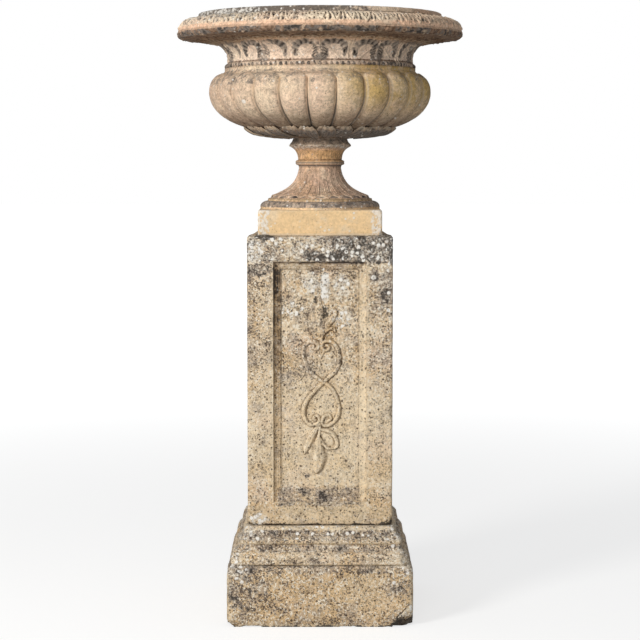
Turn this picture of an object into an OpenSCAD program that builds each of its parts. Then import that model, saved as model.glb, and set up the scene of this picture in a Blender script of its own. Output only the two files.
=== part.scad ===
// Garden urn on a square panelled pillar: four courses that stand dry, one on the other.
// Millimetres, +Z up, origin on the ground at the middle of the base block. The front faces -Y.

/* [Base block] */
// Width of the base block across its plain sides
base_w = 407; // [390:1:440]
// Height of the base block
base_h = 215; // [205:1:240]
// Height of the plain die, up to the lower moulded course
base_die_h = 133; // [110:1:138]
// Height of the lower moulded course
base_course_h = 44; // [38:1:50]
// How far the lower course stands in from the die
base_setback = 9.5; // [6:0.5:12]
// How far the foot of the upper course stands out from its top
base_flare = 11.5; // [8:0.5:14]
// Radius of the die's rounded shoulder
base_shoulder_r = 15; // [10:1:18]
// Width of the ledge round the shaft
base_ledge = 10; // [6:1:16]

/* [Shaft] */
// Width of the shaft
shaft_w = 317; // [300:1:330]
// Height of the shaft
shaft_h = 636; // [600:1:720]
// Plain border at each side of a panel
border_side = 56.5; // [50:0.5:62]
// Plain border above a panel
border_top = 56; // [40:1:70]
// Plain border below a panel
border_bottom = 52.5; // [40:0.5:70]
// Width of the moulding round a panel
frame_w = 19; // [16:1:24]
// Depth of a panel's field below the shaft's face
panel_depth = 11; // [8:1:14]
// Radius of the bead that runs round the field
bead_r = 2.2; // [1.5:0.1:3]
// Width of the square core in the shaft and the base block
core_w = 190; // [160:5:210]

/* [Scroll] */
// Reach of a scroll's strands to each side of its axis
scroll_reach = 38; // [30:1:46]
// Height from the crossing of the strands to the crown of a heart
heart_h = 93; // [80:1:104]
// Length of the leaf spray above and below the hearts
spray_l = 96; // [80:1:104]
// Width of a strand
strand_w = 9; // [6:0.5:11]
// Height of the relief above the field
relief_h = 5; // [3:0.5:6]

/* [Urn foot] */
// Width of the foot's square plinth
plinth_w = 271; // [268:1:290]
// Height of the plinth
plinth_h = 55; // [45:1:65]
// Height of the turned part of the foot
stem_h = 156; // [150:1:172]
// Radius of the stem at its narrowest
stem_r = 47; // [44:0.5:52]
// Radius of the torus that lies on the plinth
torus_r = 134; // [126:1:134]
// Height of the torus
torus_h = 17; // [13:1:18]
// Radius of the ring round the stem
ring_r = 5.5; // [4:0.5:7]
// Radius of the collar under the bowl
collar_r = 69.5; // [66:0.5:74]
// Radius of the seat on top of the foot
seat_r = 60; // [56:0.5:63]
// Thickness of the wall of the stem
foot_wall = 22; // [18:1:24]
// Thickness of the plinth's walls
plinth_wall = 27; // [22:1:32]
// Thickness of the plinth's top
plinth_top = 20; // [16:1:26]

/* [Urn bowl] */
// Height of the bowl from its seat to its lip
bowl_h = 274; // [268:1:290]
// Radius of the bowl at its belly
belly_r = 247.5; // [240:0.5:255]
// Height of the belly above the seat
belly_z = 103; // [98:1:106]
// Radius of the neck
neck_r = 204; // [198:1:208]
// Radius of the rim
rim_r = 316.5; // [305:0.5:325]
// Radius of the raised lip on the rim
lip_r = 270; // [262:1:276]
// Radius of the mouth
mouth_r = 240; // [230:1:246]
// Thickness of the bowl's wall
bowl_wall = 32; // [28:1:36]
// Number of gadroons round the belly
gadroons = 24; // [18:1:28]
// Depth of the joints between the gadroons
gadroon_depth = 9; // [5:0.5:11]
// Radius of the calyx of leaves under the belly
calyx_r = 168; // [155:1:172]
// Radius of the drain hole
drain_r = 14; // [8:1:18]
// Radius of the spigot that drops into the foot
spigot_r = 36; // [32:0.5:38]
// Length of the spigot
spigot_l = 22; // [16:1:26]
// Gap all round the spigot in its socket
spigot_gap = 2; // [1:0.5:3]

/* [Hidden] */
$fn = 96;
stone = [0.78, 0.69, 0.55];
shaft_stone = [0.76, 0.68, 0.56];
ochre_clay = [0.83, 0.68, 0.46];
buff_clay = [0.78, 0.66, 0.52];

eps = 1;                                // how far cutters pass a face
arris_r = 10;                           // worn upright edges of the base block
shaft_arris_r = 5;                      // worn edges of the shaft
plinth_arris_r = 4;                     // worn edges of the plinth
quirk_h = 3;                            // height of the groove under each moulded course
quirk_d = 3;                            // and its depth
core_corner_r = 12;                     // rounded corners of the core

base_half = base_w / 2;
course_half = base_half - base_setback;
base_top_half = shaft_w / 2 + base_ledge;
upper_half = base_top_half + base_flare;
upper_z = base_die_h + base_course_h;
shaft_z = base_h;
plinth_z = shaft_z + shaft_h;
stem_z = plinth_z + plinth_h;
bowl_z = stem_z + stem_h;

panel_half = shaft_w / 2 - border_side;
panel_low = shaft_z + border_bottom;
panel_high = shaft_z + shaft_h - border_top;
panel_mid = (panel_low + panel_high) / 2;
panel_half_h = (panel_high - panel_low) / 2;
field_y = shaft_w / 2 - panel_depth;

socket_r = spigot_r + spigot_gap;
socket_depth = spigot_l + 3;            // the spigot's end hangs clear of the socket's floor
foot_bore_r = stem_r - foot_wall;

// Curves. An arc runs from angle a to angle b about c; a cubic curve is set by its four points.
function arc(c, r, a, b, n = 10) =
    [for (i = [0:n]) let (t = a + (b - a) * i / n) [c.x + r.x * cos(t), c.y + r.y * sin(t)]];
function cubic_at(p, t) =
    pow(1 - t, 3) * p[0] + 3 * t * pow(1 - t, 2) * p[1] + 3 * t * t * (1 - t) * p[2] + pow(t, 3) * p[3];
function cubic(p, n = 10) = [for (i = [0:n]) cubic_at(p, i / n)];
// An ogee rises from a to b, round below and hollow above.
function ogee(a, b, n = 6) =
    let (m = (a + b) / 2)
    concat(arc([m.x, a.y], [a.x - m.x, m.y - a.y], 0, 90, n),
           arc([m.x, b.y], [m.x - b.x, b.y - m.y], -90, -180, n));

module mirrored_profile(points) {
    polygon(concat(points, [for (i = [len(points) - 1:-1:0]) [-points[i].x, points[i].y]]));
}

module rounded_square(w, r) {
    square([w, w - 2 * r], center = true);
    square([w - 2 * r, w], center = true);
    for (x = [-1, 1], y = [-1, 1]) translate([x * (w / 2 - r), y * (w / 2 - r)]) circle(r);
}

// A square block whose four sides all have the same profile of [half width, height], mitred at the corners.
module moulded_block(points, w, corner_r) {
    high = max([for (p = points) p.y]);
    low = min([for (p = points) p.y]);
    intersection() {
        for_side(0) side_extrusion(points, w);
        for_side(90) side_extrusion(points, w);
        translate([0, 0, low]) linear_extrude(high - low) rounded_square(w, corner_r);
    }
}

module for_side(turn) {
    rotate([0, 0, turn]) children();
}

module side_extrusion(points, w) {
    rotate([90, 0, 0]) translate([0, 0, -w]) linear_extrude(2 * w) mirrored_profile(points);
}

module core(low, high) {
    translate([0, 0, low]) linear_extrude(high - low) rounded_square(core_w, core_corner_r);
}

// Base block

module base_block() {
    shoulder_x = base_half - base_shoulder_r;
    shoulder_z = base_die_h - base_shoulder_r;
    die = concat([[base_half, 0]],
                 arc([shoulder_x, shoulder_z], [base_shoulder_r, base_shoulder_r], 0, 90),
                 [[shoulder_x - quirk_d, base_die_h], [shoulder_x - quirk_d, base_die_h + quirk_h]]);
    course_top = upper_half - quirk_d;
    course = concat([[shoulder_x - quirk_d, base_die_h], [shoulder_x - quirk_d, base_die_h + quirk_h],
                     [course_half, base_die_h + quirk_h]],
                    ogee([course_half, base_die_h + base_course_h * 0.3], [course_top - quirk_d, upper_z]),
                    [[course_top - quirk_d, upper_z + quirk_h]]);
    upper_rise = base_h - upper_z;
    upper = concat([[course_top - quirk_d, upper_z], [course_top - quirk_d, upper_z + quirk_h],
                    [upper_half, upper_z + quirk_h]],
                   ogee([upper_half, upper_z + upper_rise * 0.2],
                        [base_top_half, upper_z + upper_rise * 0.7]),
                   [[base_top_half, base_h - 2], [base_top_half - 2, base_h]]);
    color(stone) difference() {
        union() {
            moulded_block(die, base_w, arris_r);
            moulded_block(course, 2 * course_half, arris_r);
            moulded_block(upper, 2 * upper_half, arris_r);
        }
        core(-eps, base_h + eps);
    }
}

// Shaft, its panels and their scrolls

// A panel's sinking: a cavetto from the face down to a fillet, then a step down to the field.
// Each entry is [distance in from the panel's edge, depth below the face].
function sinking() =
    let (run = frame_w - 2 * bead_r - 3, drop = panel_depth * 0.75)
    concat([[0, -eps]], [for (p = arc([0, drop], [run, drop], -90, 0, 8)) [p.x, p.y]],
           [[run + 3, drop], [run + 3, panel_depth]]);

module panel_sinking() {
    steps = sinking();
    plan = [for (s = steps) [panel_half - s.x, s.y - shaft_w / 2]];
    rise = [for (s = steps) [panel_half_h - s.x, s.y - shaft_w / 2]];
    intersection() {
        translate([0, 0, panel_low - eps]) linear_extrude(2 * (panel_half_h + eps)) mirrored_profile(plan);
        translate([0, 0, panel_mid]) rotate([0, 90, 0]) translate([0, 0, -panel_half - eps])
            linear_extrude(2 * (panel_half + eps)) mirrored_profile(rise);
    }
}

// The bead round the field: four rods whose ends are cut off on the mitre.
module field_bead() {
    half = panel_half - frame_w + bead_r;
    half_h = panel_half_h - frame_w + bead_r;
    for (s = [-1, 1]) {
        translate([s * half, -field_y, panel_mid]) bead_rod(half_h, 0);
        translate([0, -field_y, panel_mid + s * half_h]) bead_rod(half, 90);
    }
}

module bead_rod(half, turn) {
    rotate([0, turn, 0]) translate([0, 0, -half - bead_r]) cylinder(r = bead_r, h = 2 * (half + bead_r));
}

// A rib with a rounded back that follows points of [x, height] over a panel's field. Its width at each
// point is in widths, and its lower edges lie under the field.
module rib(path, widths, rise) {
    n = len(path);
    sunk = 2;
    across = [[-1, -sunk / rise], [-0.72, 0.62], [0, 1], [0.72, 0.62], [1, -sunk / rise]];
    k = len(across);
    points = [for (i = [0:n - 1])
        let (a = path[max(i - 1, 0)], b = path[min(i + 1, n - 1)], t = (b - a) / norm(b - a))
        for (q = across) [path[i].x + t.y * q.x * widths[i] / 2,
                          -q.y * (q.y < 0 ? rise : min(rise, widths[i] * 0.7)),
                          path[i].y - t.x * q.x * widths[i] / 2]];
    sides = [for (i = [0:n - 2], j = [0:k - 1])
        let (m = (j + 1) % k, p = i * k) each [[p + j, p + k + j, p + k + m], [p + j, p + k + m, p + m]]];
    ends = [[for (j = [0:k - 1]) j], [for (j = [k - 1:-1:0]) (n - 1) * k + j]];
    polyhedron(points = points, faces = concat(sides, ends), convexity = 6);
}

function mirror_x(path) = [for (p = path) [-p.x, p.y]];
function swell(n, w) = [for (i = [0:n]) max(1.5, w * pow(sin(180 * (i + 0.4) / (n + 0.8)), 0.8))];

// One strand of a heart: out of the crossing, round the shoulder and into a small volute.
function strand_path() =
    let (r = scroll_reach, h = heart_h, v = heart_h * 0.14)
    concat(cubic([[0, 0], [-r * 0.62, h * 0.22], [-r, h * 0.42], [-r, h * 0.7]], 7),
           [for (p = arc([-r * 0.6, h * 0.74], [r * 0.4, h * 0.22], 172, 20, 6)) p],
           [for (p = arc([-r * 0.36, h * 0.78], [v * 0.8, v], -10, -215, 6)) p]);

// A leaf that bends from its root to its tip.
function leaf_path(root, bend, tip, n = 6) = cubic([root, (root + 2 * bend) / 3, (tip + 2 * bend) / 3, tip], n);

module leaf(root, bend, tip, w) {
    rib(leaf_path(root, bend, tip), swell(6, w), relief_h);
}

// The half of the scroll above its crossing; the lower half is the same, turned over.
module half_scroll() {
    strand = strand_path();
    strand_widths = [for (i = [0:len(strand) - 1]) strand_w * (1 - 0.45 * i / len(strand))];
    rib(strand, strand_widths, relief_h);
    rib(mirror_x(strand), strand_widths, relief_h);
    s = spray_l;
    leaf([0, heart_h - 2], [2, heart_h + s * 0.5], [0, heart_h + s], strand_w * 1.5);
    for (side = [-1, 1]) {
        leaf([side, heart_h - 4], [side * s * 0.08, heart_h + s * 0.3], [side * s * 0.34, heart_h + s * 0.24],
             strand_w * 1.2);
        leaf([side * 2, heart_h + s * 0.05], [side * s * 0.12, heart_h + s * 0.45],
             [side * s * 0.34, heart_h + s * 0.62], strand_w * 1.4);
        leaf([side * scroll_reach * 0.45, heart_h * 0.26], [side * scroll_reach * 0.95, heart_h * 0.24],
             [side * scroll_reach * 1.35, heart_h * 0.02], strand_w * 0.6);
    }
}

module scroll() {
    translate([0, -field_y, panel_mid]) {
        half_scroll();
        rotate([0, 180, 0]) half_scroll();
    }
}

module shaft() {
    half = shaft_w / 2;
    r = shaft_arris_r;
    low = shaft_z;
    high = shaft_z + shaft_h;
    profile = concat([[half - 2, low], [half, low + 2]], arc([half - r, high - r], [r, r], 0, 90, 4));
    color(shaft_stone) difference() {
        union() {
            difference() {
                moulded_block(profile, shaft_w, r);
                for (turn = [0:90:270]) for_side(turn) panel_sinking();
            }
            for (turn = [0:90:270]) for_side(turn) {
                field_bead();
                scroll();
            }
        }
        core(low - eps, high + eps);
    }
}

// Urn foot

module urn_foot() {
    half = plinth_w / 2;
    r = plinth_arris_r;
    plinth = concat([[half, plinth_z]], arc([half - r, stem_z - r], [r, r], 0, 90, 4));
    fillet_r = torus_r - torus_h;
    leaf_r = fillet_r - 6;              // where the flare's leaves end
    leaf_z = torus_h + 9;
    neck_z = stem_h * 0.58;             // narrowest part of the stem
    ring_z = stem_h * 0.654;
    cove_z = ring_z + ring_r + 1.5;
    collar_z = stem_h * 0.885;
    outline = concat(
        [[0, -eps], [torus_r - 3, -eps], [torus_r - 3, 0]],
        arc([fillet_r, torus_h * 0.2], [torus_h, torus_h * 0.8], -14, 90),
        [[fillet_r - 1, torus_h + 5], [leaf_r, torus_h + 6], [leaf_r - 1, leaf_z]],
        cubic([[leaf_r - 4, leaf_z + 3], [leaf_r * 0.65, leaf_z + 15],
               [stem_r + 3, leaf_z + 30], [stem_r, neck_z]], 14),
        [[stem_r + 1, ring_z - ring_r - 1.5], [stem_r + 2.5, ring_z - ring_r]],
        arc([stem_r + 2.5, ring_z], [ring_r, ring_r], -90, 90, 8),
        cubic([[stem_r + 1.8, cove_z], [stem_r + 2.5, cove_z + 13],
               [stem_r + 8, collar_z - 6], [collar_r - 3, collar_z - 1]], 8),
        [[collar_r, collar_z], [collar_r, collar_z + 4]],
        cubic([[collar_r - 1.5, collar_z + 5], [collar_r - 5, collar_z + 9],
               [seat_r + 2, stem_h - 8], [seat_r, stem_h]], 6),
        [[0, stem_h]]);
    flare_r = leaf_r - foot_wall * 0.6;
    hollow = concat(
        [[0, -plinth_top - eps], [flare_r, -plinth_top - eps]],
        cubic([[flare_r, -plinth_top], [flare_r - 8, 10], [foot_bore_r, 12], [foot_bore_r, neck_z - 10]], 10),
        [[foot_bore_r, stem_h], [0, stem_h]]);
    color(ochre_clay) difference() {
        union() {
            moulded_block(plinth, plinth_w, r);
            translate([0, 0, stem_z]) rotate_extrude() polygon(outline);
        }
        translate([0, 0, plinth_z - eps]) linear_extrude(plinth_h - plinth_top + eps)
            rounded_square(plinth_w - 2 * plinth_wall, core_corner_r);
        translate([0, 0, stem_z]) rotate_extrude() polygon(hollow);
        translate([0, 0, stem_z]) cylinder(r = foot_bore_r, h = stem_h + eps);
        translate([0, 0, bowl_z - socket_depth]) cylinder(r = socket_r, h = socket_depth + eps);
    }
}

// Urn bowl. Heights are above its seat.

belly_low = [145, 19];                  // where the gadroons leave the underside
belly_top = [neck_r + 8, belly_z + 44]; // where the belly meets the neck's band
function belly_curve(n = 8) =
    concat(cubic([belly_low, [185, 27], [belly_r, belly_z - 53], [belly_r, belly_z]], n),
           cubic([[belly_r, belly_z], [belly_r, belly_z + 25], [belly_r - 15, belly_z + 38], belly_top], n));

// The gadroons: the belly curve turned round the axis, with a rounded lobe between each pair of joints.
// A lobe fades at its crown, in a round end.
module gadroon_ring() {
    around = gadroons * 6;
    first = 1.1;                        // the turn that puts one lobe just right of the front
    curve = belly_curve();
    rows = len(curve);
    points = [for (i = [0:rows - 1], j = [0:around - 1])
        let (u = i / (rows - 1),
             s = ((j % 6) - 3) / 3,
             crown = 1 - pow(max(0, (u - 0.72) / 0.28), 2) * (0.4 + 0.6 * s * s),
             foot = min(1, 0.45 + u * 2),
             cut = gadroon_depth * (1 - crown * (1 - pow(abs(s), 2.6))) * foot * (i == rows - 1 ? 0.6 : 1),
             r = curve[i].x - cut,
             a = first - 180 / gadroons + 360 * j / around)
        [r * cos(a), r * sin(a), curve[i].y]];
    sides = [for (i = [0:rows - 2], j = [0:around - 1])
        let (m = (j + 1) % around, p = i * around)
        each [[p + j, p + around + j, p + around + m], [p + j, p + around + m, p + m]]];
    ends = [[for (j = [0:around - 1]) j], [for (j = [around - 1:-1:0]) (rows - 1) * around + j]];
    polyhedron(points = points, faces = concat(sides, ends), convexity = 8);
}

// The turned bowl, without its gadroons: underside and calyx, core of the belly, neck, rim and lip.
module turned_bowl() {
    under_z = belly_low.y;
    inner = belly_r - gadroon_depth - 6;
    band_z = belly_top.y;
    neck_z = band_z + 25;
    rim_z = bowl_h - 68;                // foot of the rim's soffit
    edge_z = bowl_h - 43;               // the rim's widest point, over a round underside
    under_r = 12.5;                     // rounding of that underside
    swell = [179, 36];                  // pulls the belly's underside outward
    rotate_extrude() polygon(concat(
        [[0, 0], [seat_r, 0], [seat_r + 14, 3], [calyx_r - 48, 8], [calyx_r - 20, 13], [calyx_r, 21],
         [calyx_r - 3, 27], [belly_low.x + 8, under_z + 9]],
        cubic([[belly_low.x + 8, under_z + 10], swell, [inner, belly_z - 45], [inner, belly_z]], 6),
        [[inner - 12, belly_z + 34], [belly_top.x - 1, band_z - 3], [belly_top.x, band_z], [belly_top.x, band_z + 7]],
        arc([neck_r + 2.5, band_z + 12], [4.5, 4.5], -60, 80, 6),
        cubic([[neck_r + 0.5, band_z + 18], [neck_r - 1, neck_z + 10],
               [neck_r + 5, rim_z - 10], [neck_r + 18, rim_z]], 8),
        [[neck_r + 36, rim_z + 5.5], [neck_r + 58, rim_z + 9.5]],
        arc([rim_r - under_r, edge_z], [under_r, under_r], -90, 0, 5),
        arc([lip_r + 6, edge_z + 10], [rim_r - lip_r - 9.5, 21], 8, 76, 8),
        [[lip_r + 2, bowl_h - 11]],
        arc([lip_r - 4, bowl_h - 4], [4, 4], 0, 90, 3),
        [[0, bowl_h]]));
}

module bowl_hollow() {
    w = bowl_wall;
    floor_z = w + 4;
    inner = belly_r - w - 2;
    neck_in = neck_r - w + 2;
    throat_z = belly_top.y + 15;
    rotate_extrude() polygon(concat(
        [[0, floor_z], [drain_r + 4, floor_z]],
        cubic([[120, floor_z + 4], [175, floor_z + 10], [inner, belly_z - 35], [inner, belly_z]]),
        cubic([[inner, belly_z], [inner, belly_z + 25], [neck_in + 22, throat_z - 12], [neck_in + 1, throat_z]]),
        cubic([[neck_in, throat_z + 14], [neck_in + 2, throat_z + 42],
               [mouth_r - 42, bowl_h - 34], [mouth_r - 8, bowl_h - 8]]),
        [[mouth_r, bowl_h], [mouth_r, bowl_h + eps], [0, bowl_h + eps]]));
}

module urn_bowl() {
    color(buff_clay) translate([0, 0, bowl_z]) difference() {
        union() {
            turned_bowl();
            gadroon_ring();
            translate([0, 0, -spigot_l]) cylinder(r = spigot_r, h = spigot_l + eps);
        }
        bowl_hollow();
        translate([0, 0, -spigot_l - eps]) cylinder(r = drain_r, h = spigot_l + bowl_wall + 2 * eps + 4);
    }
}

base_block();
shaft();
urn_foot();
urn_bowl();
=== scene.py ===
import math
import bmesh
import bpy
import numpy as np
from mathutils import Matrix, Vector, noise


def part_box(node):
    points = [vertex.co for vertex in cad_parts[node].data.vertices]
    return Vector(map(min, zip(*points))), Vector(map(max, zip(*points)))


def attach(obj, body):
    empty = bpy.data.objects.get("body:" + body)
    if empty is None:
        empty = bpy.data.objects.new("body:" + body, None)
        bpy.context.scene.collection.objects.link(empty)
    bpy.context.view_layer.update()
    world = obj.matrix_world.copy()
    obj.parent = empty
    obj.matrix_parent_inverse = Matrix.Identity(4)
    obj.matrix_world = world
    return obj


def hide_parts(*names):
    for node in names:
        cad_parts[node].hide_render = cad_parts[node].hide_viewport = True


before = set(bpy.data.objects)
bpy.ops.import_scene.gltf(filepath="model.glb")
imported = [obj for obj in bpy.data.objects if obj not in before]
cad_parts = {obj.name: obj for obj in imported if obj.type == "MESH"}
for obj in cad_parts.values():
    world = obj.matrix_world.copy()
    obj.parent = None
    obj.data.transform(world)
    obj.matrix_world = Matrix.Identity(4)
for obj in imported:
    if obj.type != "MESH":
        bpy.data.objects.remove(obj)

mm = 0.001
ops = bpy.ops
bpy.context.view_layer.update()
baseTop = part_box("base_block")[1].z / mm
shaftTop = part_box("shaft")[1].z / mm
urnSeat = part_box("urn_foot")[1].z / mm


# Outlines, as lists of (across, height)

def arc(centre, radii, start, end, count=10):
    angles = np.radians(np.linspace(start, end, count + 1))
    return [(centre[0] + radii[0] * math.cos(a), centre[1] + radii[1] * math.sin(a)) for a in angles]


def cubic(a, b, c, d, count=12):
    a, b, c, d = (np.array(p, float) for p in (a, b, c, d))
    return [tuple((1 - t) ** 3 * a + 3 * t * (1 - t) ** 2 * b + 3 * t * t * (1 - t) * c + t ** 3 * d)
            for t in np.linspace(0, 1, count + 1)]


def ogee(a, b, count=6):
    middle = ((a[0] + b[0]) / 2, (a[1] + b[1]) / 2)
    rise = middle[1] - a[1]
    return (arc((middle[0], a[1]), (a[0] - middle[0], rise), 0, 90, count)
            + arc((middle[0], b[1]), (middle[0] - b[0], rise), -90, -180, count))


def fine(outline, step, shortest=0.02):
    # no stretch of the outline is left longer than a step, and the shortest ones are dropped
    result = [outline[0]]
    for here, there in zip(outline, outline[1:]):
        length = math.dist(here, there)
        if length < shortest:
            continue
        parts = max(1, math.ceil(length / step))
        start = np.array(here)
        run = np.array(there) - start
        result += [tuple(start + run * (i + 1) / parts) for i in range(parts)]
    return result


def throughPoints(points, count=6):
    # a smooth line through a few given points
    p = np.array([points[0]] + list(points) + [points[-1]], float)
    line = []
    for i in range(1, len(p) - 2):
        for t in np.linspace(0, 1, count, endpoint=False):
            line.append(0.5 * (2 * p[i] + (p[i + 1] - p[i - 1]) * t
                               + (2 * p[i - 1] - 5 * p[i] + 4 * p[i + 1] - p[i + 2]) * t ** 2
                               + (3 * p[i] - p[i - 1] - 3 * p[i + 1] + p[i + 2]) * t ** 3))
    return np.array(line + [p[-1]])


def ridge(values, at, width):
    # 1 at a place, falling off smoothly to both sides
    return np.exp(-((values - at) / width) ** 2)


def spacePlaces(stops, counts):
    # places from stop to stop, each stretch with its own count
    places = [np.array([stops[0]], float)]
    for low, high, count in zip(stops, stops[1:], counts):
        places.append(np.linspace(low, high, count)[1:])
    return np.concatenate(places)


def aroundAxis(radius, turn, height):
    # points at a turn from the front
    return np.stack([radius * np.sin(turn), -radius * np.cos(turn), height], 1)


def turnAbout(points, turn):
    c, s = math.cos(turn), math.sin(turn)
    x, y, z = points.T
    return np.stack([x * c - y * s, x * s + y * c, z], 1)


# Modelling

def deselectAll():
    if bpy.context.object and bpy.context.object.mode != "OBJECT":
        ops.object.mode_set(mode="OBJECT")
    ops.object.select_all(action="DESELECT")


def pick(piece):
    deselectAll()
    piece.select_set(True)
    bpy.context.view_layer.objects.active = piece


def copyPiece(first):
    piece = first.copy()
    piece.data = first.data.copy()
    bpy.context.scene.collection.objects.link(piece)
    return piece


def joinPieces(pieces):
    pick(pieces[0])
    for piece in pieces:
        piece.select_set(True)
    ops.object.join()


def faceOutward():
    ops.mesh.select_all(action="SELECT")
    ops.mesh.normals_make_consistent(inside=False)
    ops.object.mode_set(mode="OBJECT")


def drawOutline(name, points):
    # one point is drawn out along the outline, and its end is joined to its start
    deselectAll()
    ops.mesh.primitive_plane_add(size=mm, location=points[0])
    piece = bpy.context.object
    piece.name = name
    ops.object.transform_apply(location=True, rotation=False, scale=False)
    ops.object.mode_set(mode="EDIT")
    ops.mesh.select_all(action="SELECT")
    ops.mesh.merge(type="CENTER")
    for here, there in zip(points, points[1:]):
        ops.mesh.extrude_vertices_move(TRANSFORM_OT_translate={"value": Vector(there) - Vector(here)})
    drawing = bmesh.from_edit_mesh(piece.data)
    drawing.verts.ensure_lookup_table()
    drawing.verts[0].select_set(True)
    drawing.verts[-1].select_set(True)
    ops.mesh.edge_face_add()
    return piece


def spinRound(steps):
    ops.mesh.select_all(action="SELECT")
    ops.mesh.spin(steps=steps, angle=math.tau, center=(0, 0, 0), axis=(0, 0, 1))
    ops.mesh.select_all(action="SELECT")
    ops.mesh.remove_doubles(threshold=0.01 * mm)
    faceOutward()


def readPoints(piece):
    points = np.empty(len(piece.data.vertices) * 3)
    piece.data.vertices.foreach_get("co", points)
    return points.reshape(-1, 3) / mm


def writePoints(piece, points):
    piece.data.vertices.foreach_set("co", (points * mm).ravel())
    piece.data.update()


def readEdges(piece):
    # the vertices at both ends of each edge
    edges = np.empty(len(piece.data.edges) * 2, int)
    piece.data.edges.foreach_get("vertices", edges)
    return edges.reshape(-1, 2).T


def divideAcross(piece, columns):
    # divides each edge that runs round the axis into columns; any other edge sweeps no area there
    points = readPoints(piece)
    a, b = readEdges(piece)
    swept = np.abs(points[a, 0] * points[b, 1] - points[b, 0] * points[a, 1])
    pick(piece)
    bpy.context.tool_settings.mesh_select_mode = (False, True, False)
    ops.object.mode_set(mode="EDIT")
    ops.mesh.select_all(action="DESELECT")
    ops.object.mode_set(mode="OBJECT")
    piece.data.edges.foreach_set("select", swept > 1)
    ops.object.mode_set(mode="EDIT")
    ops.mesh.subdivide(number_cuts=columns - 1)
    ops.object.mode_set(mode="OBJECT")
    bpy.context.tool_settings.mesh_select_mode = (True, False, False)


def turnPiece(name, outline, floor, sectors, columns):
    # a closed outline of (radius, height) above a floor is spun round the axis in sectors, which
    # are divided into columns; the new points lie on chords, and are moved out to their circles
    piece = drawOutline(name, [(0, -r * mm, (z + floor) * mm) for r, z in outline])
    spinRound(sectors)
    divideAcross(piece, columns)
    points = readPoints(piece)
    sector = math.tau / sectors
    turn = np.arctan2(points[:, 0], -points[:, 1])
    middle = (np.floor(turn / sector) + 0.5) * sector
    radius = np.hypot(points[:, 0], points[:, 1]) * np.cos(turn - middle) / math.cos(sector / 2)
    turn = middle + np.tan(turn - middle) / math.tan(sector / 2) * sector / 2
    writePoints(piece, aroundAxis(radius, turn, points[:, 2]))
    return piece


class Turned:
    # where each vertex of a turned piece lies: its turn from the front, its place on the outline,
    # and the way out of the surface there
    def __init__(self, piece, outline, floor):
        self.piece = piece
        points = readPoints(piece)
        self.radius = np.hypot(points[:, 0], points[:, 1])
        self.height = points[:, 2] - floor
        self.floor = floor
        self.turn = np.degrees(np.arctan2(points[:, 0], -points[:, 1]))
        line = np.array(outline)
        ahead = np.roll(line, -1, 0) - line
        ahead /= np.linalg.norm(ahead, axis=1)[:, None]
        course = ahead + np.roll(ahead, 1, 0)
        course /= np.maximum(np.linalg.norm(course, axis=1)[:, None], 1e-6)
        length = np.concatenate([[0], np.cumsum(np.linalg.norm(np.diff(line, axis=0), axis=1))])
        batch = 4000
        spots = np.concatenate([
            ((self.radius[i:i + batch, None] - line[:, 0]) ** 2
             + (self.height[i:i + batch, None] - line[:, 1]) ** 2).argmin(1)
            for i in range(0, len(points), batch)])
        self.along = length[spots]
        self.outX = course[spots, 1]
        self.outZ = -course[spots, 0]
        self.lengths = length

    def carve(self, height):
        radius = self.radius + self.outX * height
        points = aroundAxis(radius, np.radians(self.turn), self.height + self.outZ * height + self.floor)
        writePoints(self.piece, points)


def strokeReach(u, v, path, widths, far=9.0):
    # distance of each point from a stroke, in half widths of the stroke there
    reach = np.full(u.shape, far)
    margin = 2.0 * max(widths)
    near = ((u > path[:, 0].min() - margin) & (u < path[:, 0].max() + margin)
            & (v > path[:, 1].min() - margin) & (v < path[:, 1].max() + margin))
    if not near.any():
        return reach
    a, b = u[near], v[near]
    best = np.full(a.shape, far)
    width = np.interp(np.linspace(0, 1, len(path)), np.linspace(0, 1, len(widths)), widths)
    for i in range(len(path) - 1):
        run = path[i + 1] - path[i]
        t = np.clip(((a - path[i, 0]) * run[0] + (b - path[i, 1]) * run[1]) / max(run @ run, 1e-9), 0, 1)
        away = np.hypot(a - path[i, 0] - t * run[0], b - path[i, 1] - t * run[1])
        best = np.minimum(best, away / (0.5 * (width[i] * (1 - t) + width[i + 1] * t)))
    reach[near] = best
    return reach


def strokeRelief(u, v, strokes):
    # strokes are (points, widths, height, rib): a rib of 1 grooves the stroke down its middle
    relief = np.zeros(u.shape)
    for points, widths, height, rib in strokes:
        reach = strokeReach(u, v, throughPoints(points), widths)
        body = height * np.clip(1 - reach ** 2.6, 0, 1)
        body *= 1 - 0.45 * rib * ridge(reach, 0, 0.2)
        moat = -0.16 * abs(height) * ridge(reach, 1.22, 0.2) * (reach > 1)
        beside = np.where(relief > 0, relief, np.minimum(relief, moat))
        relief = np.where(reach < 1, np.maximum(relief, body), beside)
    return relief


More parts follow.
